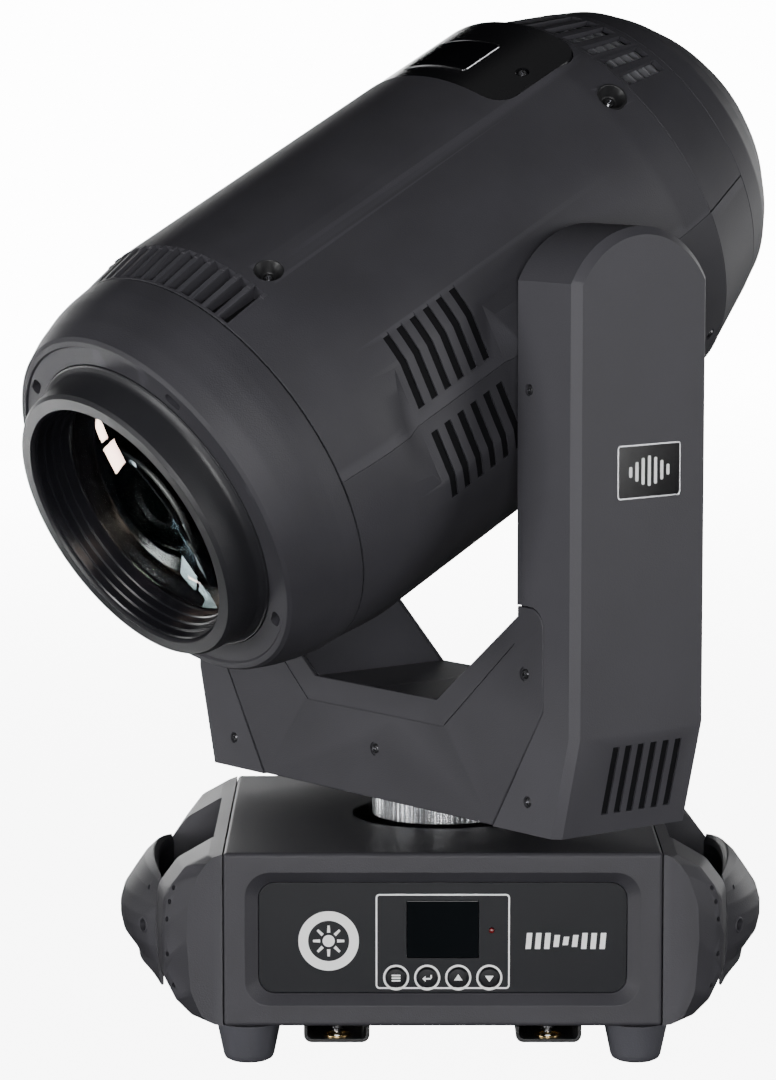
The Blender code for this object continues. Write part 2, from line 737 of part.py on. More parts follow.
def side_vents(name, parent, up):
    """The six slots on each side of one shell, cut straight in until they run out of the wall."""
    low, high = (0.008, 0.056) if up > 0 else (-0.050, -0.008)
    first = 0.1201 if up > 0 else 0.1187
    matrices = []
    for side in (-1, 1):
        for i in range(6):
            spot = Matrix.Translation((side * 0.1256, (low + high) / 2, first - VENT_PITCH * i))
            matrices.append(spot @ Matrix.Diagonal((0.028, high - low, 0.0049, 1)))
    return boxes(name, parent, matrices)


def side_pads(name, parent):
    """Flat walls behind the side vents, and the recesses in front of them."""
    near, far = PAD_X - HEAD_WALL, 0.1215
    outline = [
        (PAD_X, 0.058), (PAD_X, 0.127), (0.1242, 0.139), (0.14, 0.139), (0.14, 0.046), (0.1242, 0.046),
    ]
    walls, recesses = [], []
    for i, side in enumerate((-1, 1)):
        low, high = sorted((side * near, side * far))
        walls.append(
            box(f"{name}_wall_{i}", "housing", parent, (low, -0.036, 0.050), (high, 0.036, 0.136))
        )
        mirrored = [(side * x, -s) for x, s in outline]
        recesses.append(
            plate(
                f"{name}_recess_{i}", "housing", parent, [mirrored], 0.12, (0, 0, 0), (-90, 0, 0)
            )
        )
    return walls, recesses


def head_shells(optics):
    big = 0.3
    split = GAP / 2
    for name, up in (("top", 1), ("bottom", -1)):
        shell = turned(
            f"shell_{name}", "housing", optics, ring_from(SHELL_OUTER, HEAD_WALL), HEAD_SEGMENTS
        )
        away = box(
            f"away_{name}", "housing", optics,
            (-big, min(up * split, -up * big), -big), (big, max(up * split, -up * big), big),
        )
        trunnions = cylinder(
            f"trunnion_hole_{name}", "housing", optics, TRUNNION_HOLE, -0.15, 0.15, 32,
            (0, 0, 0), (0, 90, 0),
        )
        walls, recesses = side_pads(f"pads_{name}", optics)
        unite(shell, *walls)
        cutters = [away, trunnions, *recesses, side_vents(f"side_vents_{name}", optics, up)]
        if up > 0:
            cutters.append(
                radial_slots(
                    "front_vents", optics, 16, 54.75, 4.7, 0.122, 0.1715, (0.02, 0.0062, 0.0265)
                )
            )
            cutters.append(
                plate(
                    "hatch_window", "housing", optics,
                    [rounded_rectangle(0.0660, 0.0340, 0.012, 5, 0, 0)], 0.08,
                    (0, 0.12, -0.0757), (90, 0, 0),
                )
            )
        cut(shell, *cutters)
    hatch = turned(
        "service_hatch", "gloss", optics,
        [(0.1236, -0.02), (0.1236, -0.13), (0.1206, -0.13), (0.1206, -0.02)], HEAD_SEGMENTS,
    )
    blank = plate(
        "hatch_blank", "gloss", optics, [rounded_rectangle(0.0657, 0.0337, 0.0117, 5)], 0.08,
        (0, 0.12, -0.0757), (90, 0, 0),
    )
    combine(hatch, as_cutter(blank), "INTERSECT")
    rear = turned("rear_ring", "housing", optics, ring_from(REAR_OUTER, HEAD_WALL), HEAD_SEGMENTS)
    upper = (14, 44.37, 7.02, 0.1115, -0.1345, (0.026, 0.0089, 0.033))
    lower = (10, 242.6, 6.08, 0.1115, -0.1345, (0.026, 0.0085, 0.033))
    vents = radial_slots("rear_vents", optics, *upper)
    lower_vents = radial_slots("rear_vents_low", optics, *lower)
    cut(rear, vents, lower_vents)
    outside = [
        (0.1042, -0.1563), (0.0975, -0.173), (0.0880, -0.1853), (0.0740, -0.1995), (0.0580, -0.212),
        (0, -0.212),
    ]
    inside = [
        (0, -0.209), (0.0570, -0.209), (0.0720, -0.1975), (0.0855, -0.183), (0.0945, -0.1715),
        (0.1012, -0.1563),
    ]
    cap = turned("rear_cap", "housing", optics, outside + inside, HEAD_SEGMENTS, closed=True)
    grille_radius = 0.046
    grille = []
    for i in range(5):
        y = 0.016 * (i - 2)
        width = 2 * math.sqrt(grille_radius ** 2 - y * y)
        grille.append(Matrix.Translation((0, y, -0.21)) @ Matrix.Diagonal((width, 0.008, 0.02, 1)))
    cut(cap, boxes("grille_slots", optics, grille))


def head_front(optics):
    outer = [(0.1058, 0.2325), (0.1123, 0.2200), (0.1170, 0.2055), (0.1182, 0.1990), (0.1194, 0.1873)]
    inner = [
        (0.1160, 0.1873), (0.1136, 0.2045), (0.1000, 0.2285), (0.0905, 0.2285),
        (0.0905, 0.2315), (0.1015, 0.2315),
    ]
    turned("front_ring", "housing", optics, outer + inner, HEAD_SEGMENTS)
    nose = [
        (0.0820, 0.2544), (0.0838, 0.2526), (0.0848, 0.2400), (0.0902, 0.2325), (0.0902, 0.2200),
        (0.0860, 0.2150), (0.0640, 0.2150), (0.0640, 0.2250), (0.0680, 0.2300),
        (0.0735, 0.2460), (0.0745, 0.2544),
    ]
    turned("nose_ring", "black_metal", optics, nose, HEAD_SEGMENTS)
    radius, edge, bulge = 0.0676, 0.2303, 0.010
    steps = 4
    front = [(radius * i / steps, edge + bulge * (1 - (i / steps) ** 2)) for i in range(steps)]
    rim = [(radius, edge), (0.0637, 0.2256), (0.0637, 0.2200), (0, 0.2140)]
    turned("front_lens", "glass", optics, front + rim, 40, closed=False)


def head_chassis(optics):
    """Side plates, guide rods and a bulkhead, with the two trunnions the head tilts on."""
    frame = plate(
        "head_chassis", "black_metal", optics,
        [circle(0.120, 32), circle(0.028, 16)],
        0.004, (0, 0, -0.030),
    )
    parts = []
    front = plate(
        "front_bulkhead", "black_metal", optics,
        [circle(0.113, 32), circle(0.075, 24)], 0.004, (0, 0, 0.200),
    )
    parts.append(front)
    for name, sx in (("left", -1), ("right", 1)):
        low, high = sorted((sx * 0.104, sx * 0.107))
        parts.append(
            box(
                f"side_plate_{name}", "black_metal", optics, (low, -0.026, -0.031), (high, 0.026, 0.201)
            )
        )
        parts.append(
            cylinder(
                f"guide_rod_{name}", "steel", optics, ROD_RADIUS, -0.031, 0.201, 16,
                (sx * ROD_X, 0, 0), (0, 0, 11),
            )
        )
        reach = 0.1365 if sx < 0 else 0.1505
        profile = [
            (0, reach), (0.0100, reach), (0.0100, 0.1330), (0.0155, 0.1330), (0.0155, 0.1262),
            (0.0180, 0.1262), (0.0180, 0.1160), (0.0250, 0.1160), (0.0250, 0.1025), (0, 0.1025),
        ]
        parts.append(
            turned(
                f"trunnion_{name}", "steel", optics, profile, 24, (0, 0, 0), (0, sx * 90, 0), closed=False
            )
        )
    pins = [
        (0, WHEEL_OFFSET, 0.0030, 0.0125),
        (0, -WHEEL_OFFSET, 0.0030, -0.0035),
        (*PRISM_PIVOT, 0.0022, 0.0475),
    ]
    for i, (x, y, radius, top) in enumerate(pins):
        parts.append(
            cylinder(f"pin_{i}", "steel", optics, radius, -0.030, top, 10, (x, y, 0), (0, 0, 7))
        )
    for i, (sx, sy) in enumerate(((1, 1), (-1, 1), (-1, -1), (1, -1))):
        parts.append(
            cylinder(
                f"standoff_{i}", "steel", optics, 0.004, -0.0720, -0.030, 8,
                (sx * 0.062, sy * 0.062, 0), (0, 0, 7),
            )
        )
    unite(frame, *parts)
    plate(
        "tilt_pulley", "aluminium", optics,
        [toothed(BELT_TEETH, PULLEY_RADIUS, PULLEY_RADIUS - 0.0014), circle(0.0103, 20)],
        0.010, (TILT_BELT_X, 0, 0), (0, 90, 0),
    )


def lens_carriage(optics, name, position, opening, lens_bulge):
    """A sled on the guide rods with a lens in its middle."""
    body = [rounded_rectangle(0.0965, 0.040, 0.012, 4)]
    body += [circle(ROD_RADIUS + 0.0004, 12, sx * ROD_X, 0) for sx in (-1, 1)]
    sled = plate(name, "black_metal", optics, body, 0.012, (0, 0, position))
    edge = 0.007
    profile = [
        (0, edge + lens_bulge), (opening * 0.6, edge + lens_bulge * 0.64),
        (opening, edge), (opening, -edge), (0, -edge),
    ]
    barrel = turned(
        f"{name}_barrel", "glass", optics, profile, 24, (0, 0, position), closed=False
    )
    unite(sled, barrel)


def filter_wheel(optics, name, offset, position, openings, hole, look):
    """A disc whose ring of holes passes over the optical axis."""
    loops = [circle(WHEEL_RADIUS, 32), circle(0.0033, 8)]
    loops += [circle(hole, 10, *point) for point in arc(0, 0, WHEEL_OFFSET, 90, 450, openings)[:-1]]
    plate(name, look, optics, loops, 0.002, (0, offset, position))


def prism_changer(optics):
    """An arm that swings a turning prism into the beam; it rests swung out."""
    pivot = empty("prism_pivot", optics, (*PRISM_PIVOT, 0.044), (0, 0, PRISM_SWING - 45))
    reach = math.hypot(*PRISM_PIVOT)
    lever = box(
        "prism_arm", "black_metal", pivot, (-0.010, -0.007, -0.002), (reach - 0.0235, 0.007, 0.002)
    )
    collar = plate(
        "prism_collar", "black_metal", pivot,
        [circle(0.026, 32), circle(0.0215, 32)], 0.004, (reach, 0, 0),
    )
    hole = cylinder("prism_pin_hole", "black_metal", pivot, 0.0025, -0.01, 0.01, 12)
    unite(lever, collar)
    cut(lever, hole)
    profile = [(0, 0.010), (0.0212, 0.003), (0.0212, -0.003), (0, -0.003)]
    turned("prism", "glass", pivot, profile, 8, (reach, 0, 0), closed=False)


def light_source(optics):
    engine = [
        (0, -0.0345), (0.012, -0.0345), (0.024, -0.0480), (0.026, -0.0680),
        (0.044, -0.0690), (0.044, -0.0720), (0, -0.0720),
    ]
    turned("led_engine", "aluminium", optics, engine, 32, closed=False)
    half, base_back, fin_end, fins, fin = 0.072, -0.080, -0.121, 13, 0.002
    pitch = (2 * half - fin) / (fins - 1)
    outline = [(-half, -0.0723), (-half, fin_end), (-half + fin, fin_end)]
    for i in range(1, fins):
        left = -half + pitch * i
        outline += [(left - pitch + fin, base_back), (left, base_back)]
        outline += [(left, fin_end), (left + fin, fin_end)]
    outline += [(half, -0.0723)]
    cleaned = [outline[0]]
    for point in outline[1:]:
        if math.dist(point, cleaned[-1]) > MERGE:
            cleaned.append(point)
    plate("heatsink", "aluminium", optics, [cleaned], 2 * half, (0, 0, 0), (90, 0, 0))
    frame = plate(
        "fan_frame", "black_metal", optics,
        [rounded_rectangle(0.060, 0.060, 0.008, 3), circle(0.0565, 40)], 0.025,
        (0, 0, -0.1345),
    )
    long, narrow, low, high = 0.058, 0.003, -0.1250, -0.1220
    struts = [
        box(f"fan_strut_{i}", "black_metal", optics, (-x, -y, low), (x, y, high))
        for i, (x, y) in enumerate(((long, narrow), (narrow, long)))
    ]
    hub = cylinder("fan_hub", "black_metal", optics, 0.016, -0.1262, -0.1215, 16, (0, 0, 0), (0, 0, 7))
    unite(frame, *struts, hub)
    rotor = cylinder("fan_rotor", "black_metal", optics, 0.020, -0.1465, -0.1265, 24)
    blades = []
    for i in range(7):
        form = bmesh.new()
        turn = Matrix.Rotation(2 * math.pi * i / 7, 4, "Z")
        spot = Matrix.Translation((0.036, 0, -0.1365)) @ Matrix.Rotation(math.radians(38), 4, "X")
        blade = Matrix.Diagonal((0.037, 0.022, 0.0016, 1))
        bmesh.ops.create_cube(form, size=1.0, matrix=turn @ spot @ blade)
        blades.append(node(f"fan_blade_{i}", mesh_from("fan_blade", form), "black_metal", optics))
    unite(rotor, *blades)


def build_head(yoke):
    tilt = empty("tilt_axis", yoke, (0, 0, TILT_AXIS_Z), (TILT_ANGLE, 0, 0))
    optics = empty("optical_axis", tilt, (0, 0, 0), (90, 0, 0))
    head_shells(optics)
    head_front(optics)
    head_chassis(optics)
    lens_carriage(optics, "zoom_carriage", 0.150, 0.038, 0.006)
    lens_carriage(optics, "focus_carriage", 0.085, 0.032, 0.004)
    filter_wheel(optics, "colour_wheel", -WHEEL_OFFSET, -0.006, 9, 0.0115, "aluminium")
    filter_wheel(optics, "gobo_wheel", WHEEL_OFFSET, 0.010, 8, 0.0130, "aluminium")
    prism_changer(optics)
    light_source(optics)


clear_scene()
build_base()
build_head(build_yoke())
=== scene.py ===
"""Looks for the moving head light: detailed pieces, procedural materials, studio light and camera."""
import math
import random

import bmesh
import bpy
from mathutils import Matrix, Vector


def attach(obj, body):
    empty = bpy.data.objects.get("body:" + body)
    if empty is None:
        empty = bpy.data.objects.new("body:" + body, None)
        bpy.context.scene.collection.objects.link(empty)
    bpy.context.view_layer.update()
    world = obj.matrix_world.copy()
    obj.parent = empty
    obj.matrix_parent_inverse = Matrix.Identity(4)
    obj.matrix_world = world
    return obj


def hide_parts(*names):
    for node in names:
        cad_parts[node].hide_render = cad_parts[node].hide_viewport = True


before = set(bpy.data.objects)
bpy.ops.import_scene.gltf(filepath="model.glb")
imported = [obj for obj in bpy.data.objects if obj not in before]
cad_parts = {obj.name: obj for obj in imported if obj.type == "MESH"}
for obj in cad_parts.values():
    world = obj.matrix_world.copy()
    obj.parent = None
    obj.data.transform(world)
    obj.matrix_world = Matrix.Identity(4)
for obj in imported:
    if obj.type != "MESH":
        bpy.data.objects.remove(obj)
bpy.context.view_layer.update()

# ---- frames (lengths in this script are millimetres until a piece is finished) ---------------
PAN = math.radians(-51.4)
TILT = math.radians(27.3)
AXIS_Z = 401.7
SCALE = Matrix.Scale(0.001, 4)
BASE = SCALE.copy()
YOKE = SCALE @ Matrix.Rotation(PAN, 4, "Z")
STAND_Y = Matrix.Rotation(math.radians(90), 4, "X")  # local (x, y, z) to (x, -z, y)
STAND_BACK = Matrix.Rotation(math.pi, 4, "Z") @ STAND_Y  # the same, facing the back
SIDE_X = Matrix.Rotation(math.radians(90), 4, "Z") @ STAND_Y  # local (x, y, z) to (z, x, y)
SWAP_YZ = Matrix(((1, 0, 0, 0), (0, 0, 1, 0), (0, 1, 0, 0), (0, 0, 0, 1)))  # to (x, z, y)
HEAD = (  # X to the head's side, Y up from its seam, Z forward along the optical axis
    YOKE @ Matrix.Translation((0, 0, AXIS_Z)) @ Matrix.Rotation(TILT, 4, "X") @ STAND_Y
)
SPACES = {"head": HEAD, "yoke": YOKE}  # every other body's pieces are drawn in BASE

# ---- sizes that several pieces share ---------------------------------------------------------
TURN = 192  # segments in a full turn of a large round piece
HEAD_RADIUS = 124.0
SHELL_FRONT, SHELL_REAR = 186.6, -112.7  # the ends of the head shells
RING_DROP, RING_LENGTH = 15.6, 42.7  # how far the rear ring narrows, and over what length
FOOT_HEIGHT, FOOT_X, FOOT_Y = 22.5, 109.6, 105.5
RAIL_X, LOCK_Y = 59.7, 110.0  # omega channel centres, and the locks near their ends
ARM_LOW, ARM_BEND = 113.1, 171.2
ARM_DROP, ARM_FOOT = 14.8, 58.1  # how far an arm leans in below its bend, and over what height


def add(name, data):
    """A new object in the scene."""
    item = bpy.data.objects.new(name, data)
    bpy.context.scene.collection.objects.link(item)
    return item


def baked(form, name="work"):
    """A bmesh as an object in the scene."""
    mesh = bpy.data.meshes.new(name)
    form.to_mesh(mesh)
    form.free()
    return add(name, mesh)


def set_inputs(node, **values):
    """Set a shader node's inputs; an underscore in an input's name stands for a space."""
    for name, value in values.items():
        node.inputs[name.replace("_", " ")].default_value = value
    return node


def add_node(tree, kind, **values):
    return set_inputs(tree.nodes.new("ShaderNode" + kind), **values)


# ---- camera, light and floor -----------------------------------------------------------------
def camera():
    data = bpy.data.cameras.new("camera")
    data.lens = 141.2
    data.sensor_width = 36.0
    data.clip_end = 50.0
    item = add("camera", data)
    item.location = (-0.0308, -2.457, 0.5627)
    item.rotation_euler = (math.radians(83.0), 0, 0)
    bpy.context.scene.camera = item


def area_light(name, location, target, size, power, spread):
    data = bpy.data.lights.new(name, "AREA")
    data.shape = "RECTANGLE"
    data.size, data.size_y = size
    data.energy = power
    data.spread = math.radians(spread)
    item = add(name, data)
    item.location = location
    item.rotation_euler = (Vector(target) - Vector(location)).to_track_quat("-Z", "Y").to_euler()
    item.visible_camera = False


FAR_LIGHT = 14.0  # brightness of the far floor and of the horizon above it


def seen_only(rays):
    """Keep a bright backdrop from lighting the object, so that the lamps alone shape it."""
    rays.diffuse = False
    rays.glossy = False
    rays.transmission = False
    rays.scatter = False


def studio_world():
    world = bpy.data.worlds.new("studio")
    world.use_nodes = True
    bpy.context.scene.world = world
    tree = world.node_tree
    tree.nodes.clear()
    out = add_node(tree, "OutputWorld")
    background = add_node(tree, "Background", Strength=FAR_LIGHT)
    ramp = add_node(tree, "ValToRGB")
    split = add_node(tree, "SeparateXYZ")
    coords = add_node(tree, "TexCoord")
    for position in (0.30, 0.60):
        ramp.color_ramp.elements.new(position)
    for element, tone in zip(ramp.color_ramp.elements, (1.0, 1.0, 0.9, 0.8)):
        element.color = (tone, tone, tone, 1)
    tree.links.new(coords.outputs["Generated"], split.inputs[0])
    tree.links.new(split.outputs["Z"], ramp.inputs["Fac"])
    tree.links.new(ramp.outputs["Color"], background.inputs["Color"])
    tree.links.new(background.outputs[0], out.inputs["Surface"])
    seen_only(world.cycles_visibility)


def studio_floor():
    """A pale floor that brightens with distance until it meets the horizon."""
    form = bmesh.new()
    bmesh.ops.create_grid(form, x_segments=2, y_segments=2, size=200.0)
    floor = baked(form, "floor")
    floor.location.z = -(FOOT_HEIGHT + 0.1) * 0.001
    floor.visible_diffuse = False
    floor.visible_glossy = False
    floor.visible_transmission = False
    look = bpy.data.materials.new("floor")
    look.use_nodes = True
    tree, links = look.node_tree, look.node_tree.links
    shader = tree.nodes["Principled BSDF"]
    set_inputs(shader, Roughness=0.9, Specular_IOR_Level=0.0, Emission_Color=(1, 1, 1, 1))
    coords = add_node(tree, "TexCoord")
    length = add_node(tree, "VectorMath")
    length.operation = "LENGTH"
    links.new(coords.outputs["Object"], length.inputs[0])
    for socket_and_cup_shade, near, far in (("Emission Strength", 8.0, FAR_LIGHT), ("Base Color", 0.80, 0.0)):
        fade = add_node(tree, "MapRange", From_Min=0.45, From_Max=5.0, To_Min=near, To_Max=far)
        fade.interpolation_type = "SMOOTHSTEP"
        links.new(length.outputs["Value"], fade.inputs["Value"])
        links.new(fade.outputs["Result"], shader.inputs[socket_and_cup_shade])
    floor.data.materials.append(look)


MIDDLE = (0.0, 0.0, 0.36)
WIDE, NARROW = 180, 30  # how far a lamp's light spreads, in degrees
LAMPS = (  # name, place, target, size in metres, watts, spread
    ("key_front", (-0.1, -3.0, 0.45), MIDDLE, (1.3, 0.9), 72, WIDE),
    ("side_right", (2.5, -1.0, 0.70), MIDDLE, (0.9, 1.4), 34, WIDE),
    ("low_left", (-2.3, -1.5, 0.25), (-0.1, -0.1, 0.33), (0.8, 0.8), 50, WIDE),
    ("side_left", (-2.8, 0.9, 0.35), MIDDLE, (0.9, 0.9), 12, WIDE),
    ("overhead", (0.0, 0.2, 3.0), MIDDLE, (2.0, 2.0), 3, WIDE),
    ("back_left", (-1.0, 3.0, 0.60), MIDDLE, (1.6, 1.2), 44, WIDE),
    ("back_right", (2.0, 2.4, 0.60), MIDDLE, (1.2, 1.2), 24, WIDE),
    # Small cards whose reflections show as window panes in the front lens.
    ("card_upper", (-0.602, 0.099, 0.179), (-0.190, -0.134, 0.341), (0.045, 0.055), 0.012, NARROW),
    ("card_middle", (-0.584, 0.079, 0.122), (-0.181, -0.138, 0.324), (0.080, 0.050), 0.020, NARROW),
    ("card_left", (-0.538, 0.236, 0.190), (-0.204, -0.107, 0.334), (0.090, 0.080), 0.004, NARROW),
    ("card_low", (-0.279, 0.038, 0.045), (-0.132, -0.128, 0.247), (0.045, 0.040), 0.004, NARROW),
)


def stage():
    studio_world()
    studio_floor()
    for lamp in LAMPS:
        area_light(*lamp)


# ---- materials -------------------------------------------------------------------------------
def material(name, colour, roughness, metallic=0.0, grain=0.0, scale=900.0, spread=0.0, shade=0.10,
             blotch=22.0, specular=0.5, coat=0.0, streak=None, wear=0.0):
    """A procedural finish: slow colour variation, fine grain in the bump, and varied roughness."""
    look = bpy.data.materials.new(name)
    look.use_nodes = True
    tree, links = look.node_tree, look.node_tree.links
    shader = tree.nodes["Principled BSDF"]
    set_inputs(shader, Metallic=metallic, Specular_IOR_Level=specular)
    set_inputs(shader, Coat_Weight=coat, Coat_Roughness=0.06)
    coords = add_node(tree, "TexCoord")
    slow = add_node(tree, "TexNoise", Scale=blotch, Detail=5.0)
    links.new(coords.outputs["Object"], slow.inputs["Vector"])
    ramp = add_node(tree, "ValToRGB")
    for element, place, share in zip(ramp.color_ramp.elements, (0.30, 0.70), (1 - shade, 1 + shade)):
        element.position = place
        element.color = (*[c * share for c in colour], 1)
    links.new(slow.outputs["Fac"], ramp.inputs["Fac"])
    tint = ramp.outputs["Color"]
    fine = add_node(tree, "TexNoise", Scale=scale, Detail=2.0)
    source = coords.outputs["Object"]
    if streak:
        mapping = add_node(tree, "Mapping", Scale=streak)
        links.new(source, mapping.inputs["Vector"])
        source = mapping.outputs["Vector"]
    links.new(source, fine.inputs["Vector"])
    if wear:
        geometry = add_node(tree, "NewGeometry")
        edge = add_node(tree, "MapRange", From_Min=0.52, From_Max=0.60, To_Max=wear)
        links.new(geometry.outputs["Pointiness"], edge.inputs["Value"])
        mix = add_node(tree, "Mix")
        mix.data_type = "RGBA"
        links.new(edge.outputs["Result"], mix.inputs["Factor"])
        links.new(tint, mix.inputs[6])
        mix.inputs[7].default_value = (*[min(1.0, c * 2.4 + 0.02) for c in colour], 1)
        tint = mix.outputs[2]
    links.new(tint, shader.inputs["Base Color"])
    low, high = max(0.0, roughness - spread), min(1.0, roughness + spread)
    varied = add_node(tree, "MapRange", To_Min=low, To_Max=high)
    links.new(slow.outputs["Fac"], varied.inputs["Value"])
    links.new(varied.outputs["Result"], shader.inputs["Roughness"])
    if grain:
        bump = add_node(tree, "Bump", Strength=grain, Distance=0.0004)
        links.new(fine.outputs["Fac"], bump.inputs["Height"])
        links.new(bump.outputs["Normal"], shader.inputs["Normal"])
    return look


def metal(name, colour, roughness, metallic=1.0, spread=0.08, **detail):
    return material(name, colour, roughness, metallic, spread=spread, **detail)


def glass(name, tint, film):
    look = material(name, tint, 0.02, shade=0.02, spread=0.01, blotch=9.0)
    shader = look.node_tree.nodes["Principled BSDF"]
    set_inputs(shader, Transmission_Weight=1.0, IOR=1.5)
    set_inputs(shader, Thin_Film_Thickness=film, Thin_Film_IOR=1.38)
    return look


LOOKS = {
    "housing": material(
        "housing_plastic", (0.036, 0.035, 0.041), 0.56, grain=0.35, scale=1300, spread=0.05, wear=0.20,
        specular=0.35,
    ),
    "gloss": material(
        "gloss_black", (0.004, 0.004, 0.005), 0.12, grain=0.02, scale=120, spread=0.03, specular=0.30
    ),
    "hatch": material(
        "hatch_black", (0.007, 0.007, 0.008), 0.26, grain=0.05, scale=700, spread=0.05, specular=0.30
    ),
    "panel": material(
        "panel_film", (0.006, 0.0065, 0.009), 0.42, grain=0.12, scale=1700, spread=0.04, specular=0.22
    ),
    "print": material("white_print", (0.95, 0.95, 0.95), 0.45, grain=0.05, scale=1500, shade=0.02),
    "screen": material("screen_glass", (0.004, 0.005, 0.006), 0.08, spread=0.02, coat=0.3),
    "key": material(
        "key_cap", (0.006, 0.006, 0.008), 0.35, grain=0.10, scale=1500, spread=0.05, specular=0.22
    ),
    "led": material("led_red", (0.13, 0.008, 0.010), 0.18, spread=0.03),
    "rubber": material("foot_rubber", (0.050, 0.050, 0.060), 0.62, grain=0.5, scale=1000, spread=0.08),
    "belt": material("belt_rubber", (0.015, 0.015, 0.016), 0.75, grain=0.4, scale=600),
    "steel": metal("screw_steel", (0.50, 0.50, 0.52), 0.24, grain=0.05, scale=400, spread=0.06),
    "dark_steel": metal("screw_black", (0.16, 0.16, 0.17), 0.24, 0.9, grain=0.05, scale=700),
    "brass": metal("brass", (0.62, 0.44, 0.20), 0.25, grain=0.05, scale=500),
    "aluminium": metal(
        "machined_aluminium", (0.66, 0.67, 0.69), 0.26, grain=0.10, scale=260, spread=0.06,
        streak=(1, 1, 9),
    ),
    "cast": metal("cast_aluminium", (0.52, 0.53, 0.55), 0.42, grain=0.30),
    "fins": metal("fin_aluminium", (0.24, 0.24, 0.26), 0.50, 0.3, grain=0.20),
    "black_metal": metal(
        "black_steel", (0.012, 0.012, 0.013), 0.42, 0.3, grain=0.20, scale=800, spread=0.06
    ),
    "nose": material(
        "nose_black", (0.017, 0.017, 0.020), 0.45, grain=0.25, scale=1300, spread=0.05, wear=0.4
    ),
    "bore": material("bore_black", (0.008, 0.008, 0.010), 0.22, grain=0.05, spread=0.05),
    # Matte black for the strips inside the slots: painted shade for their dark depth.
    "slot_shade": material("slot_shade_black", (0.004, 0.004, 0.005), 0.80, grain=0.30, specular=0.15),
    # Near-black plastic for the real sockets and inlet; on the screw cups it is painted shade for the
    # recess.
    "socket_and_cup_shade": material(
        "socket_and_cup_shade_black", (0.012, 0.012, 0.013), 0.45, grain=0.20, scale=1200, spread=0.06
    ),
    "lens": glass("lens_glass", (0.93, 0.97, 0.95), 330.0),
    "inner_lens": glass("inner_lens_glass", (0.80, 0.93, 0.86), 420.0),
    # Near-black glossy surface: painted shade for the dark depth seen through the front glass.
    "lens_depth_shade": material("lens_depth_shade", (0.002, 0.003, 0.003), 0.03, spread=0.01),
    "dichroic": metal("dichroic", (0.10, 0.30, 0.55), 0.08, 0.9, spread=0.02),
}


# ---- mesh tools ------------------------------------------------------------------------------
def solid(form):
    """A bmesh as a working object whose faces all point outwards."""
    bmesh.ops.recalc_face_normals(form, faces=form.faces)
    return baked(form)


def settle(item):
    """Apply an object's modifiers to its mesh."""
    if item.modifiers:
        graph = bpy.context.evaluated_depsgraph_get()
        mesh = bpy.data.meshes.new_from_object(item.evaluated_get(graph))
        item.modifiers.clear()
        item.data = mesh
    return item


def merged(items):
    """One working object from several."""
    form = bmesh.new()
    for item in items:
        settle(item)
        form.from_mesh(item.data)
        bpy.data.objects.remove(item)
    return baked(form)


def boolean(item, others, operation="DIFFERENCE"):
    other = merged(others) if isinstance(others, (list, tuple)) else settle(others)
    modifier = item.modifiers.new("boolean", "BOOLEAN")
    modifier.object = other
    modifier.operation = operation
    modifier.solver = "EXACT"
    settle(item)
    bpy.data.objects.remove(other)
    return item


def soften(item, width, segments=2, angle=35):
    modifier = item.modifiers.new("bevel", "BEVEL")
    modifier.width = width
    modifier.segments = segments
    modifier.limit_method = "ANGLE"
    modifier.angle_limit = math.radians(angle)
    modifier.use_clamp_overlap = True
    modifier.miter_outer = "MITER_ARC"
    settle(item)
    return item


def finish(item, name, body, look, angle=32, replaces=(), weighted=True):
    """Put a working object in the frame's own space, smooth it, and hand it to its body."""
    settle(item)
    item.name = name
    mesh = item.data
    mesh.name = name
    mesh.transform(SPACES.get(body, BASE))
    mesh.shade_smooth()
    mesh.set_sharp_from_angle(angle=math.radians(angle))
    if weighted:
        modifier = item.modifiers.new("normals", "WEIGHTED_NORMAL")
        modifier.keep_sharp = True
        settle(item)
        item.data.name = name
    item.data.materials.clear()
    item.data.materials.append(LOOKS[look])
    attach(item, body)
    if replaces:
        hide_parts(*replaces)


def rounded(points, steps=6, closed=False):
    """A polyline of (x, y, radius) corners with each corner turned into an arc."""
    count = len(points)
    out = []
    for i, point in enumerate(points):
        radius = point[2] if len(point) > 2 else 0.0
        here = Vector(point[:2])
        if radius <= 0 or (not closed and i in (0, count - 1)):
            out.append(tuple(here))
            continue
        before = Vector(points[i - 1][:2]) - here
        after = Vector(points[(i + 1) % count][:2]) - here
        half = before.angle(after) / 2
        if half > math.radians(89.5) or half < 0.01:
            out.append(tuple(here))
            continue
        reach = min(radius / math.tan(half), 0.49 * before.length, 0.49 * after.length)
        radius = reach * math.tan(half)
        middle = (before.normalized() + after.normalized()).normalized()
        centre = here + middle * (radius / math.sin(half))
        start = here + before.normalized() * reach - centre
        end = here + after.normalized() * reach - centre
        sweep = start.angle_signed(end)
        for step in range(steps + 1):
            angle = -sweep * step / steps
            c, s = math.cos(angle), math.sin(angle)
            out.append((centre.x + start.x * c - start.y * s, centre.y + start.x * s + start.y * c))
    return out


def circle(radius, steps=48, cx=0.0, cy=0.0):
    angles = [2 * math.pi * i / steps for i in range(steps)]
    return [(cx + radius * math.cos(angle), cy + radius * math.sin(angle)) for angle in angles]


def rectangle(half_x, half_y, corner, cx=0.0, cy=0.0, steps=6):
    signs = ((1, 1), (-1, 1), (-1, -1), (1, -1))
    corners = [(sx * half_x + cx, sy * half_y + cy, corner) for sx, sy in signs]
    return rounded(corners, steps, closed=True)


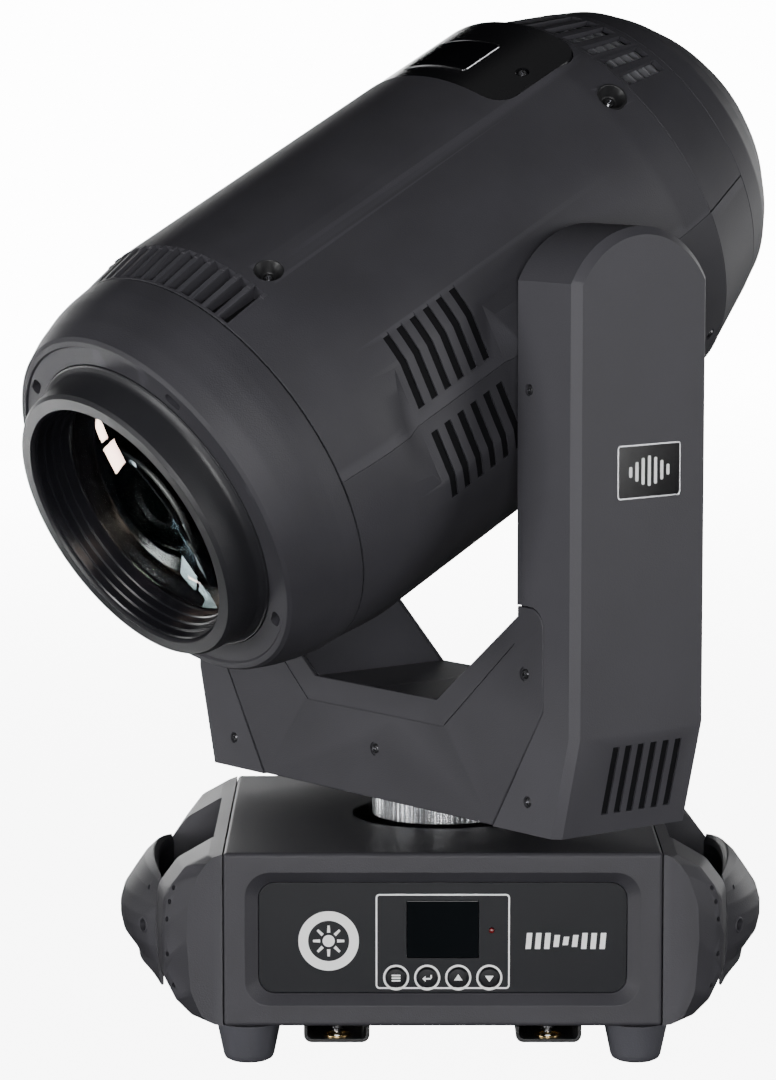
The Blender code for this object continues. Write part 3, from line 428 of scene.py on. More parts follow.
def lathe(profile, segments=TURN, closed=True, span=None):
    """A profile of (radius, height) turned about Z, or through a span in degrees with flat ends."""
    form = bmesh.new()
    full = span is None
    start, end = span or (0, 360)
    count = segments if full else segments + 1
    rings = []
    for i in range(count):
        angle = math.radians(start + (end - start) * i / segments)
        c, s = math.cos(angle), math.sin(angle)
        rings.append([form.verts.new((r * c, r * s, z)) for r, z in profile])
    length = len(profile)
    for i in range(segments):
        a, b = rings[i], rings[(i + 1) % count]
        for j in range(length if closed else length - 1):
            k = (j + 1) % length
            form.faces.new((a[j], b[j], b[k], a[k]))
    if not full:
        form.faces.new(rings[0])
        form.faces.new(rings[-1])
    bmesh.ops.remove_doubles(form, verts=form.verts, dist=0.0005)
    return solid(form)


def slab(place, size):
    """A box of a size, centred on a place matrix."""
    form = bmesh.new()
    bmesh.ops.create_cube(form, size=1.0, matrix=place @ Matrix.Diagonal((*size, 1)))
    return solid(form)


def block(low, high):
    """A box from its lowest to its highest corner."""
    size = [b - a for a, b in zip(low, high)]
    return slab(Matrix.Translation([(a + b) / 2 for a, b in zip(low, high)]), size)


def rod(radius, low, high, steps=32, matrix=None, top=None):
    """A cylinder along Z, or a cone if top is given."""
    form = bmesh.new()
    move = Matrix.Translation((0, 0, (low + high) / 2))
    bmesh.ops.create_cone(
        form, cap_ends=True, segments=steps, radius1=radius, radius2=radius if top is None else top,
        depth=high - low, matrix=(matrix or Matrix()) @ move,
    )
    return solid(form)


def skin(sections, matrix=None):
    """Closed sections of equal point count joined into one body."""
    form = bmesh.new()
    rings = [[form.verts.new(point) for point in section] for section in sections]
    count = len(rings[0])
    for lower, upper in zip(rings, rings[1:]):
        for i in range(count):
            j = (i + 1) % count
            form.faces.new((lower[i], lower[j], upper[j], upper[i]))
    form.faces.new(rings[0])
    form.faces.new(rings[-1])
    if matrix:
        form.transform(matrix)
    return solid(form)


def prism(outline, low, high, matrix=None):
    """A flat outline pushed along Z."""
    return skin([[(x, y, z) for x, y in outline] for z in (low, high)], matrix)


def sheet(loops, low, high, edge=0.0, matrix=None):
    """An outline with holes as a plate with rounded edges, drawn as a filled curve."""
    curve = bpy.data.curves.new("outline", "CURVE")
    curve.dimensions = "2D"
    curve.fill_mode = "BOTH"
    curve.extrude = (high - low) / 2 - edge
    curve.bevel_depth = edge
    curve.bevel_resolution = 2
    curve.offset = -edge
    for loop in loops:
        spline = curve.splines.new("POLY")
        spline.points.add(len(loop) - 1)
        spline.use_cyclic_u = True
        for point, (x, y) in zip(spline.points, loop):
            point.co = (x, y, 0, 1)
    guide = add("outline", curve)
    mesh = bpy.data.meshes.new_from_object(guide.evaluated_get(bpy.context.evaluated_depsgraph_get()))
    bpy.data.objects.remove(guide)
    form = bmesh.new()
    form.from_mesh(mesh)
    bmesh.ops.remove_doubles(form, verts=form.verts, dist=0.0005)
    form.transform((matrix or Matrix()) @ Matrix.Translation((0, 0, (low + high) / 2)))
    return solid(form)


def moved(item, matrix):
    item.data.transform(matrix)
    return item


def facing(location, normal):
    """A matrix that puts local Z along a direction at a place."""
    return Matrix.Translation(location) @ Vector(normal).to_track_quat("Z", "Y").to_matrix().to_4x4()


def turned(angle, *place):
    """A place matrix turned about Z by an angle in degrees."""
    return Matrix.Rotation(math.radians(angle), 4, "Z") @ Matrix.Translation(place)


def lying(*place):
    """A place matrix with local Z along the frame's -Y."""
    return Matrix.Translation(place) @ STAND_Y


def bisect(form, place, normal):
    """A loop of new edges where a plane crosses a form."""
    parts = form.verts[:] + form.edges[:] + form.faces[:]
    bmesh.ops.bisect_plane(form, geom=parts, plane_co=place, plane_no=normal)


def flip_x(item):
    """Mirror a working object left to right."""
    form = bmesh.new()
    form.from_mesh(item.data)
    form.transform(Matrix.Diagonal((-1, 1, 1, 1)))
    bmesh.ops.reverse_faces(form, faces=form.faces)
    form.to_mesh(item.data)
    form.free()


def screw(radius, height):
    """A pan head screw with a cross drive, whose underside is at Z = 0."""
    profile = [(0, height), (radius * 0.55, height), (radius, height * 0.45, radius * 0.5), (radius, 0)]
    head = lathe(rounded(profile, 5) + [(radius, -0.6), (0, -0.6)], 32, closed=False)
    arm = radius * 0.50
    cutters = [
        block((-arm, -arm * 0.28, height * 0.25), (arm, arm * 0.28, height + 1)),
        block((-arm * 0.28, -arm, height * 0.25), (arm * 0.28, arm, height + 1.1)),
    ]
    for cutter in cutters:
        boolean(head, cutter)
    return head


def screws(name, body, look, places, **shape):
    """Several screws on one body as a single piece; places are (location, outward normal)."""
    pattern = screw(**shape)
    spun = random.Random(7)
    form = bmesh.new()
    for location, normal in places:
        mesh = pattern.data.copy()
        mesh.transform(facing(location, normal) @ Matrix.Rotation(spun.uniform(0, 1.5), 4, "Z"))
        form.from_mesh(mesh)
    bpy.data.objects.remove(pattern)
    finish(solid(form), name, body, look, weighted=False)


# ---- head ------------------------------------------------------------------------------------
def polar(radius, angle, s):
    return (radius * math.cos(math.radians(angle)), radius * math.sin(math.radians(angle)), s)


def radial(angle):
    return (math.cos(math.radians(angle)), math.sin(math.radians(angle)), 0)


PAD_X = 118.6  # the flats on the head's sides
PAD_LOW, PAD_HIGH = 58, 127  # their ends along the optical axis
PAD_SLOPE = 12  # the length over which they run out to the full radius
# Places on the head as (distance along the optical axis, angle round it)
SCREW_CUPS = [(143.9, 57.2), (-98.0, 41.6), (143.9, 122.8), (-98.0, 138.4)]
LOW_SCREWS = [(-99.4, -37.4), (-99.4, 217.4)]
HATCH_SCREWS = [(-73, 63.4), (-73, 116.6)]
VENT_FIRST, VENT_PITCH, VENTS = 54.1, 4.787, 16  # the front vents' angles
HATCH_S = -75.7  # the hatch's middle along the optical axis
LABEL_S = -70.5
BEZEL_SCREWS = (48.1, 132.4, 228.0, 317.9)


def pad_cutters(depth):
    """Flat-sided recesses on both sides of the head, sloping out at their ends."""
    out = []
    x = PAD_X - depth
    low, high = PAD_LOW + depth, PAD_HIGH - depth
    outline = [
        (x, low), (x, high), (x + 5.6, high + PAD_SLOPE), (140, high + PAD_SLOPE),
        (140, low - PAD_SLOPE), (x + 5.6, low - PAD_SLOPE),
    ]
    for side in (1, -1):
        out.append(prism([(side * a, b) for a, b in outline], -60, 60, SWAP_YZ))
    return out


def side_slots(up):
    """Six slots a side, cut straight in until they run out of the wall."""
    low, high, first = (8.0, 56.0, 120.1) if up else (-50.0, -8.0, 118.7)
    out = []
    for side in (1, -1):
        for i in range(6):
            s = first - 10.35 * i
            near, far = sorted((side * 111.6, side * 140))
            out.append(block((near, low, s - 2.45), (far, high, s + 2.45)))
    return out


def head_shell(up):
    sign = 1 if up else -1
    span = (0.06, 179.94) if up else (180.06, 359.94)
    outer = [
        (112.5, SHELL_FRONT), (119.35, SHELL_FRONT, 0.5), (HEAD_RADIUS, 157.5, 90),
        (HEAD_RADIUS, -88, 45), (120.7, SHELL_REAR, 0.5), (113.0, SHELL_REAR),
    ]
    shell = lathe(rounded(outer, 10) + [(0, SHELL_REAR), (0, SHELL_FRONT)], TURN // 2, True, span)
    for cutter in pad_cutters(0):
        boolean(shell, cutter)
    hollow = [
        (112.6, 200), (112.6, 150), (121.0, 141), (121.0, -90), (117.6, -112.9), (117.6, -130),
        (0, -130), (0, 200),
    ]
    inner = lathe(hollow, 96)
    for cutter in pad_cutters(3):
        boolean(inner, cutter)
    boolean(shell, inner)
    cutters = side_slots(up)
    cutters.append(rod(18.5, -150, 150, 64, Matrix.Rotation(math.radians(90), 4, "Y")))
    if up:
        for i in range(VENTS):
            cutters.append(slab(turned(VENT_FIRST + VENT_PITCH * i, 119, 0, 171.3), (24, 6.9, 27.4)))
        for s, angle in SCREW_CUPS:
            cutters.append(rod(8.4, 112, 130, 48, facing((0, 0, s), radial(angle))))
        cutters.append(prism(rectangle(66.2, 34.2, 13, 0, HATCH_S), 90, 140, SWAP_YZ))
    else:
        for s, angle in LOW_SCREWS:
            cutters.append(rod(3.6, 118, 130, 32, facing((0, 0, s), radial(angle))))
    boolean(shell, cutters)
    soften(shell, 0.45, 2, 28)
    name = "shell_top" if up else "shell_bottom"
    finish(shell, f"{name}_skin", "head", "housing", 30, (name,))


def vent_slot_shades():
    """Black strips that close the side slots just under the surface: painted shade for the slots' dark
    depth.
    """
    strips = merged(side_slots(True) + side_slots(False))
    limit = rod(123.0, 40, 140, TURN)
    for cutter in pad_cutters(1.0):
        boolean(limit, cutter)
    boolean(strips, limit, "INTERSECT")
    finish(strips, "vent_slot_shades", "head", "slot_shade", 30)


def round_head(spots, radius):
    """Screw places at a radius, each facing outwards."""
    return [(Vector(radial(angle)) * radius + Vector((0, 0, s)), radial(angle)) for s, angle in spots]


def screw_cups():
    profile = [
        (8.9, 123.45), (7.9, 123.45, 0.6), (4.6, 116.5, 1.2), (0, 116.5), (0, 115), (5.6, 115),
        (8.9, 121),
    ]
    cups = []
    for s, angle in SCREW_CUPS:
        cups.append(moved(lathe(rounded(profile, 4), 48), facing((0, 0, s), radial(angle))))
    # The cups take the near-black socket finish: painted shade for the hollow of each recess.
    finish(merged(cups), "screw_cups", "head", "socket_and_cup_shade", 40)
    places = round_head(SCREW_CUPS, 116.4) + round_head(LOW_SCREWS, 120.6)
    screws("screws_shell", "head", "dark_steel", places, radius=3.0, height=1.8)


def label(radius, half_x, half_s, corner):
    """A thin rounded rectangle that follows the hatch's curve."""
    profile = [(radius, -54.5), (radius, -86.5), (123.3, -86.5), (123.3, -54.5)]
    outline = rectangle(half_x, half_s, corner, 0, LABEL_S)
    band = lathe(profile, 32, True, (76.5, 103.5))
    return boolean(band, prism(outline, 100, 130, SWAP_YZ), "INTERSECT")


def hatch():
    profile = [(123.55, -40), (123.55, -112), (120.4, -112), (120.4, -40)]
    lid = lathe(profile, 96, True, (50, 130))
    boolean(lid, prism(rectangle(65.85, 33.85, 12.7, 0, HATCH_S), 90, 140, SWAP_YZ), "INTERSECT")
    for s, angle in HATCH_SCREWS:
        boolean(lid, rod(4.0, 119, 126, 32, facing((0, 0, s), radial(angle))))
    soften(lid, 0.4, 2, 30)
    finish(lid, "hatch_lid", "head", "hatch", 30, ("service_hatch",))
    rim = label(HEAD_RADIUS, 28.5, 15.6, 2.4)
    boolean(rim, prism(rectangle(27.7, 14.8, 2.0, 0, LABEL_S), 100, 130, SWAP_YZ))
    finish(rim, "hatch_label_rim", "head", "steel", 30)
    finish(label(123.85, 27.6, 14.7, 1.9), "hatch_label", "head", "gloss", 30)
    places = round_head(HATCH_SCREWS, 120.9)
    screws("screws_hatch", "head", "dark_steel", places, radius=3.3, height=2.4)


def front_ring():
    outer = rounded(
        [
            (102.4, 232.4, 0.4), (105.6, 232.4, 1.2), (107.6, 230.6, 1.5), (112.4, 220, 30),
            (117.0, 205.5, 30), (118.4, 198, 20), (119.4, 187.5, 0.4), (113, 187.5), (110, 200),
            (100, 226), (90.6, 226), (90.6, 231.2, 0.3), (101.6, 231.2, 0.5),
        ],
        6, closed=True,
    )
    ring = lathe(outer)
    holes = []
    for angle in BEZEL_SCREWS:
        stadium = rectangle(2.9, 5.6, 2.88, 97.0, 0)
        holes.append(prism(stadium, 222, 240, Matrix.Rotation(math.radians(angle), 4, "Z")))
    boolean(ring, holes)
    soften(ring, 0.35, 2, 35)
    finish(ring, "front_bezel", "head", "housing", 30, ("front_ring",))
    places = [(polar(97, a, 226.3), (0, 0, 1)) for a in BEZEL_SCREWS]
    screws("screws_bezel", "head", "dark_steel", places, radius=2.7, height=1.8)


def nose():
    outer = rounded(
        [
            (90.2, 231.9, 0.3), (89.2, 232.1, 3), (86.4, 234.6, 5), (83.9, 252.0, 0.8),
            (82.1, 254.2, 0.6), (75.2, 254.2, 0.4), (74.4, 252.6, 0.5), (74.2, 247.2, 0.3), (90.2, 225),
        ],
        6, closed=True,
    )
    finish(lathe(outer), "nose_flange", "head", "nose", 30, ("nose_ring",))
    bore = rounded(
        [
            (74.0, 251.4), (73.2, 250.6, 0.4), (72.9, 246.4, 0.3), (71.6, 246.0, 0.3),
            (71.4, 241.6, 0.3), (70.2, 241.2, 0.3), (69.9, 236.6, 0.3), (68.9, 236.2, 0.3),
            (68.6, 231.0), (68.2, 220), (74.0, 220),
        ],
        4, closed=True,
    )
    finish(lathe(bore), "nose_bore", "head", "bore", 25)


def lenses():
    radius, steps = 67.8, 14
    radii = [radius * math.sin(i * math.pi / 2 / steps) for i in range(steps + 1)]
    front = [(r, 230.2 + 10.5 * (1 - (r / radius) ** 2)) for r in radii]
    back = [(r, 224.0 + 1.5 * (r / radius) ** 2) for r in reversed(radii)]
    lens = lathe(front + [(radius, 226.0)] + back[1:], 128, closed=False)
    finish(lens, "front_element", "head", "lens", 40, ("front_lens",), weighted=False)
    inner = rounded([(0, 221.5), (30, 217.0, 60), (50, 206.5, 2), (52, 204.0), (52, 200), (0, 200)], 10)
    # The inner element is near-black: painted shade for the dark depth of the lens, which still shows
    # real reflections.
    finish(lathe(inner, 128, closed=False), "inner_element", "head", "lens_depth_shade", 40, weighted=False)
    tube = rounded(
        [
            (67.9, 219.6), (67.9, 212, 0.5), (60, 211), (58, 191), (52.4, 191), (52.4, 206), (56, 208),
            (56, 214), (66, 216), (66, 219.6),
        ],
        3, closed=True,
    )
    finish(lathe(tube, 96), "lens_tube", "head", "bore", 30)


def rear_parts():
    outer = rounded([(117.0, -113.2), (120.2, -113.2, 0.5), (104.6, -155.9, 0.5), (101.4, -155.9)], 4)
    ring = lathe(outer + [(101.4, -155.9), (116.6, -113.2)])
    lean = Matrix.Rotation(math.atan2(RING_DROP, RING_LENGTH), 4, "Y")
    slots = []
    for first, pitch, count, width in ((44.37, 7.02, 14, 8.9), (242.6, 6.08, 10, 8.0)):
        for i in range(count):
            slots.append(slab(turned(first + pitch * i, 112.5, 0, -133.5) @ lean, (26, width, 37.5)))
    for angle in (0, 180):  # the seam between the upper and lower halves
        slots.append(slab(turned(angle, 112.4, 0, -134.5) @ lean, (2.6, 0.9, 50)))
    boolean(ring, slots)
    soften(ring, 0.4, 2, 35)
    finish(ring, "rear_vent_ring", "head", "housing", 30, ("rear_ring",))

    fins = []
    for i in range(5):
        s = -119.5 - 7.4 * i
        radius = 120.2 + (s + 113.2) * RING_DROP / RING_LENGTH - 4.6
        fin = [(radius, s), (radius - 0.6, s - 1.6), (radius - 12, s - 1.6), (radius - 12, s)]
        fins.append(lathe(fin, 128))
    finish(merged(fins), "rear_cooling_fins", "head", "fins", 40)

    outside = rounded(
        [
            (101.2, -156.2), (104.3, -156.2, 0.6), (97.5, -173.0, 12), (88.0, -185.3, 12),
            (74.0, -199.5, 12), (58.6, -211.6, 2.0), (0, -211.6),
        ],
        8,
    )
    inside = [(0, -208.8), (57.2, -208.8), (72, -197.3), (85.5, -183), (94.5, -171.5)]
    cap = lathe(outside + inside)
    slots = []
    for y in (-32, -16, 0, 16, 32):
        half = math.sqrt(46**2 - y * y)
        slots.append(block((-half, y - 4, -220), (half, y + 4, -200)))
    boolean(cap, slots)
    soften(cap, 0.5, 2, 35)
    finish(cap, "rear_cover", "head", "housing", 30, ("rear_cap",))
    places = [(polar(52.5, a, -211.4), (0, 0, -1)) for a in (45, 135, 225, 315)]
    screws("screws_rear", "head", "dark_steel", places, radius=2.8, height=1.4)
    bars = []
    for x in range(-44, 45, 4):
        half = math.sqrt(48**2 - x * x)
        bars.append(rod(0.5, -half, half, 8, lying(x, 0, -207.6)))
    finish(merged(bars), "fan_guard", "head", "steel", 40)


def vent_lips():
    """Raised ends on the ribs between the front vents, and the liner seen inside them."""
    lips = []
    for i in range(VENTS + 1):
        place = turned(VENT_FIRST + VENT_PITCH * (i - 0.5), 123.35, 0, 158.9)
        lips.append(slab(place, (1.5, 3.1, 4.2)))
    whole = merged(lips)
    soften(whole, 0.45, 2, 30)
    finish(whole, "vent_lips", "head", "housing", 35)
    liner = lathe([(113.2, 155), (112.8, 186.4), (111.8, 186.4), (112.2, 155)], 96, True, (46, 134))
    finish(liner, "vent_liner", "head", "black_metal", 35)


# ---- yoke ------------------------------------------------------------------------------------
def arc(cx, cy, radius, start, end, steps):
    return [
        (
            cx + radius * math.cos(math.radians(start + (end - start) * i / steps)),
            cy + radius * math.sin(math.radians(start + (end - start) * i / steps)),
        )
        for i in range(steps + 1)
    ]


def cover_outline(grow=0.0):
    half = [(106.3 + grow, ARM_LOW - grow), (149.8 + grow, 183.2 - grow * 0.3)]
    half += arc(138.3, 229.1, 11.5 + grow, 0, 90, 10)
    half += [(127.3, 240.6 + grow), (127.3, 234.6), (56.7, 178.9)]
    return half + [(-x, z) for x, z in reversed(half)]


def yoke_covers():
    groove = [(-125, 218.2), (-63.4, 164.4), (63.4, 164.4), (125, 218.2)]
    for name, sign, place in (("front", -1, STAND_Y), ("rear", 1, STAND_BACK)):
        cover = sheet([cover_outline(-0.45)], 46.5, 49.5, 0.9, place)
        for (x0, z0), (x1, z1) in zip(groove, groove[1:]):
            middle = Matrix.Translation(((x0 + x1) / 2, sign * 49.6, (z0 + z1) / 2))
            turn = Matrix.Rotation(-math.atan2(z1 - z0, x1 - x0), 4, "Y")
            boolean(cover, slab(middle @ turn, (math.hypot(x1 - x0, z1 - z0) + 0.6, 1.5, 1.0)))
        for x, z in ((0, 142.8), (133.6, 202.7), (-133.6, 202.7)):
            boolean(cover, rod(4.0, -2, 2, 32, lying(x, sign * 50.3, z)))
        finish(cover, f"cover_plate_{name}", "yoke", "housing", 30, (f"yoke_cover_{name}",))
    top = [
        (-127.1, 234.3), (-56.6, 178.8), (56.6, 178.8), (127.1, 234.3), (127.1, 231), (57.6, 175.9),
        (-57.6, 175.9), (-127.1, 231),
    ]
    saddle = sheet([top], -46.3, 46.3, 0.5, STAND_Y)
    boolean(saddle, block((-0.4, -60, 178.2), (0.4, 60, 180)))
    finish(saddle, "saddle_cover", "yoke", "housing", 30, ("beam_top_cover",))


def arm_shape(radius, half, low):
    start = math.degrees(math.acos(half / radius))
    return [(-half, low), (half, low)] + arc(0, 395, radius, start, 180 - start, 36)


ARM_SCREW_X, ARM_SCREWS = 136.8, (361, 131.1)
BADGE_Z = 316.1


def yoke_arm(name, side):
    half, inner_x, outer_x = 49.5, 127.3, 176.0
    full = arm_shape(55.8, half, ARM_LOW)
    edge = arm_shape(51.3, 45.0, ARM_LOW)
    layers = ((inner_x, full), (171.5, full), (outer_x, edge))
    cover = skin([[(x, y, z) for y, z in shape] for x, shape in layers])
    form = bmesh.new()
    form.from_mesh(cover.data)
    bisect(form, (0, 0, ARM_BEND), (0, 0, 1))
    for vert in form.verts:
        if vert.co.x > 150 and vert.co.z < ARM_BEND:
            vert.co.x -= ARM_DROP * (ARM_BEND - vert.co.z) / ARM_FOOT
    form.to_mesh(cover.data)
    form.free()
    wedge = [(131, ARM_LOW), (107.1, ARM_LOW), (inner_x, 145.7), (131, 145.7)]
    boolean(cover, prism(wedge, -half, half, STAND_Y), "UNION")
    cavity = [
        (120, 150.5), (120, 400), (173, 400), (173, ARM_BEND), (158.2, 116.1), (114.5, 116.1),
        (134.5, 150.5),
    ]
    boolean(cover, prism(cavity, -43.2, 43.2, STAND_Y))
    crown = arm_shape(52.8, 43.2, 390)
    boolean(cover, skin([[(x, y, z) for y, z in crown] for x in (120, 173)]))
    for place in (STAND_Y, STAND_BACK):
        boolean(cover, prism(cover_outline(0.35), 46.2, 70, place))
    lean = Matrix.Rotation(math.atan2(ARM_DROP, ARM_FOOT), 4, "Y")
    # Black strips set back inside the slots are painted shade for their dark depth.
    slots, slot_shades = [], []
    for i in range(6):
        place = Matrix.Translation((170, side * (-16.6 + 9.25 * i), 143.7)) @ lean
        slots.append(slab(place, (20, 4.9, 40.6)))
        slot_shades.append(slab(place @ Matrix.Translation((-3.75, 0, 0)), (3.5, 4.86, 40.5)))
    for y in (-1, 1):
        for z in ARM_SCREWS:
            slots.append(rod(3.4, -2, 2, 32, lying(ARM_SCREW_X, y * 49.9, z)))
    boolean(cover, slots)
    slot_shades = merged(slot_shades)
    if side < 0:
        flip_x(cover)
        flip_x(slot_shades)
    finish(slot_shades, f"arm_slot_shade_{name}", "yoke", "slot_shade")
    soften(cover, 0.7, 3, 22)
    finish(cover, f"arm_shell_{name}", "yoke", "housing", 28, (f"arm_cover_{name}",))

    low, high = (-19.4, 27.4) if side > 0 else (-27.4, 19.4)
    middle, half = (low + high) / 2, (high - low) / 2
    border = rectangle(half, 15.1, 2.2, middle, BADGE_Z)
    inner = rectangle(half - 1.0, 14.1, 1.6, middle, BADGE_Z)
    place = SIDE_X if side > 0 else Matrix.Diagonal((-1, 1, 1, 1)) @ SIDE_X
    finish(sheet([border, inner], 175.8, 176.55, 0.12, place), f"badge_rim_{name}", "yoke", "steel")
    finish(sheet([inner], 175.8, 176.45, 0.1, place), f"badge_{name}", "yoke", "gloss")
    bars = []
    for i, tall in enumerate((3.0, 5.4, 7.4, 8.4, 7.4, 5.4, 3.0)):
        bar = rectangle(1.1, tall, 0.9, middle + 4.6 * (i - 3), BADGE_Z)
        bars.append(sheet([bar], 176.3, 176.52, 0.0, place))
    finish(merged(bars), f"badge_bars_{name}", "yoke", "print")


def yoke_screws():
    places = []
    for y in (-1, 1):
        for x in (1, -1):
            places += [((x * ARM_SCREW_X, y * 47.9, z), (0, y, 0)) for z in ARM_SCREWS]
            places.append(((x * 133.6, y * 48.3, 202.7), (0, y, 0)))
        places.append(((0, y * 48.3, 142.8), (0, y, 0)))
    screws("screws_yoke", "yoke", "dark_steel", places, radius=2.9, height=1.5)


def pulley_ring():
    teeth = 72
    rib = ((-0.46, 38.3), (-0.32, 39.5), (-0.12, 40.0), (0.12, 40.0), (0.32, 39.5), (0.46, 38.3))
    outline = []
    for i in range(teeth):
        for shift, radius in rib:
            angle = 2 * math.pi * (i + shift) / teeth
            outline.append((radius * math.cos(angle), radius * math.sin(angle)))
    ring = sheet([outline, circle(24, 96)], 99.8, 127.6, 0.0)
    finish(ring, "pulley_teeth", "base", "aluminium", 25, ("pan_pulley",))


# ---- base ------------------------------------------------------------------------------------
PANEL_Z = 50.25
DISPLAY = (0, 54.9)
LED = (27.5, 54.3)
SUN = (-64.2, 48.3)
KEYS = [(17.5 * (i - 1.5), 27.3) for i in range(4)]
INK = (118.66, 118.84)  # the printing's back and front; the panel's face is at 118.7
HANDLE_BOSSES = (-50, 50)
CAP_X = 123.8  # where the end mouldings meet the case
INLET_X, DATA_X = -62, (15, 60)


def base_shell():
    shell = block((-123.5, -124, 0.3), (123.5, 124, 99.5))
    soften(shell, 2.6, 4, 40)
    boolean(shell, block((-120.5, -116, -5), (120.5, 121, 96.5)))
    opening = rectangle(103.8, 31.8, 9.5, 0, PANEL_Z, 8)
    mouth = rectangle(111.2, 38.05, 14.0, 0, PANEL_Z, 8)
    flare = 1.2
    outside = [
        (a + (b - a) * flare, -119 - 5 * flare, c + (d - c) * flare)
        for (a, c), (b, d) in zip(opening, mouth)
    ]
    window = skin([[(x, -112, z) for x, z in opening], [(x, -119, z) for x, z in opening], outside])
    boolean(shell, window)
    boolean(shell, block((-95, 115, 22), (95, 130, 78)))
    boolean(shell, rod(27, 90, 110, 96))
    soften(shell, 0.8, 3, 25)
    finish(shell, "base_case", "base", "housing", 28, ("base_shell",))
    plate = sheet([circle(52, 96), circle(27.5, 72)], 99.4, 99.5, 0.0)
    finish(plate, "bearing_cover", "base", "black_metal")


def panel():
    loops = [
        rectangle(103.5, 31.5, 9.2, 0, PANEL_Z, 8), rectangle(20.4, 16.5, 0.8, *DISPLAY, 3),
        circle(1.75, 24, *LED),
    ]
    loops += [circle(6.15, 48, x, z) for x, z in KEYS]
    plate = sheet(loops, 115.7, 118.7, 0.12, STAND_Y)
    finish(plate, "panel_plate", "base", "panel", 30, ("control_panel",))
    screen = sheet([rectangle(20.25, 16.3, 0.8, *DISPLAY, 3)], 111.5, 118.3, 0.25, STAND_Y)
    finish(screen, "display_glass", "base", "screen", 30, ("display_screen",))
    lamp = lathe(rounded([(0, 120.2), (1.5, 120.0, 1.4), (1.5, 113), (0, 113)], 6), 32, closed=False)
    moved(lamp, lying(LED[0], 0, LED[1]))
    finish(lamp, "led_dome", "base", "led", 40, ("status_led",))

    low, high = INK
    marks = [[circle(17.0, 96, *SUN), circle(11.6, 96, *SUN)], [circle(3.4, 32, *SUN)]]
    for i in range(8):
        turn = Matrix.Translation((*SUN, 0)) @ Matrix.Rotation(math.radians(45 * i), 4, "Z")
        ray = ((4.8, -0.9), (8.8, -0.65), (8.8, 0.65), (4.8, 0.9))
        marks.append([[(turn @ Vector((x, y, 0))).to_2d()[:] for x, y in ray]])
    marks.append([rectangle(37.75, 27.2, 2.2, 0, 48.0), rectangle(36.85, 26.3, 1.4, 0, 48.0)])
    ink = [sheet(loops, low, high, 0, STAND_Y) for loops in marks]
    for x, z in KEYS:
        ink.append(sheet([circle(7.35, 64, x, z), circle(6.2, 64, x, z)], low, high + 0.05, 0, STAND_Y))
    for i, tall in enumerate((4.6, 4.6, 4.6, 3.4, 2.4, 3.4, 4.6, 4.6, 4.6)):
        x, z = 48.5 + 5.2 * i, SUN[1]
        bar = [(x - 1.9, z - tall), (x + 1.1, z - tall), (x + 1.9, z + tall), (x - 1.1, z + tall)]
        ink.append(sheet([bar], low, high, 0, STAND_Y))
    finish(merged(ink), "panel_print", "base", "print", 40)

    enter = [
        (-2.7, -0.4), (-0.9, -2.1), (-0.9, -0.85), (1.8, -0.85), (1.8, 1.8), (2.7, 1.8), (2.7, 0.1),
        (-0.9, 0.1), (-0.9, 1.3),
    ]
    icons = {
        "menu": [rectangle(2.5, 0.42, 0.3, 0, 1.5 - 1.5 * i, 2) for i in range(3)],
        "enter": [enter],
        "up": [[(-2.4, -1.3), (2.4, -1.3), (0, 2.2)]],
        "down": [[(-2.4, 1.3), (0, -2.2), (2.4, 1.3)]],
    }
    profile = [(0, 120.35), (4.9, 120.1, 1.0), (5.75, 119.2, 0.5), (5.75, 113.9), (0, 113.9)]
    for (name, marks), (x, z) in zip(icons.items(), KEYS):
        place = lying(x, 0, z)
        cap = moved(lathe(rounded(profile), 64, closed=False), place)
        finish(cap, f"key_{name}", f"button_{name}", "key", 35, (f"button_{name}",))
        shapes = [sheet([mark], 120.05, 120.4, 0, place) for mark in marks]
        finish(merged(shapes), f"key_{name}_icon", f"button_{name}", "print", 40)


def feet():
    profile = rounded(
        [
            (0, -0.3), (18.3, -0.3, 0.4), (14.4, -19.0, 6), (13.4, -21.2, 2), (10.8, -FOOT_HEIGHT, 1.2),
            (6.0, -FOOT_HEIGHT, 0.4), (5.5, -17.5, 0.4), (0, -17.5),
        ],
        6,
    )
    places = []
    for depth, sy in (("front", -1), ("rear", 1)):
        for side, sx in (("left", -1), ("right", 1)):
            x, y = sx * FOOT_X, sy * FOOT_Y
            foot = moved(lathe(profile, 96, closed=False), Matrix.Translation((x, y, 0)))
            replaced = f"foot_{depth}_{side}"
            finish(foot, f"rubber_{replaced}", "base", "rubber", 40, (replaced,))
            places.append(((x, y, -17.5), (0, 0, -1)))
    screws("screws_feet", "base", "steel", places, radius=3.6, height=2.0)


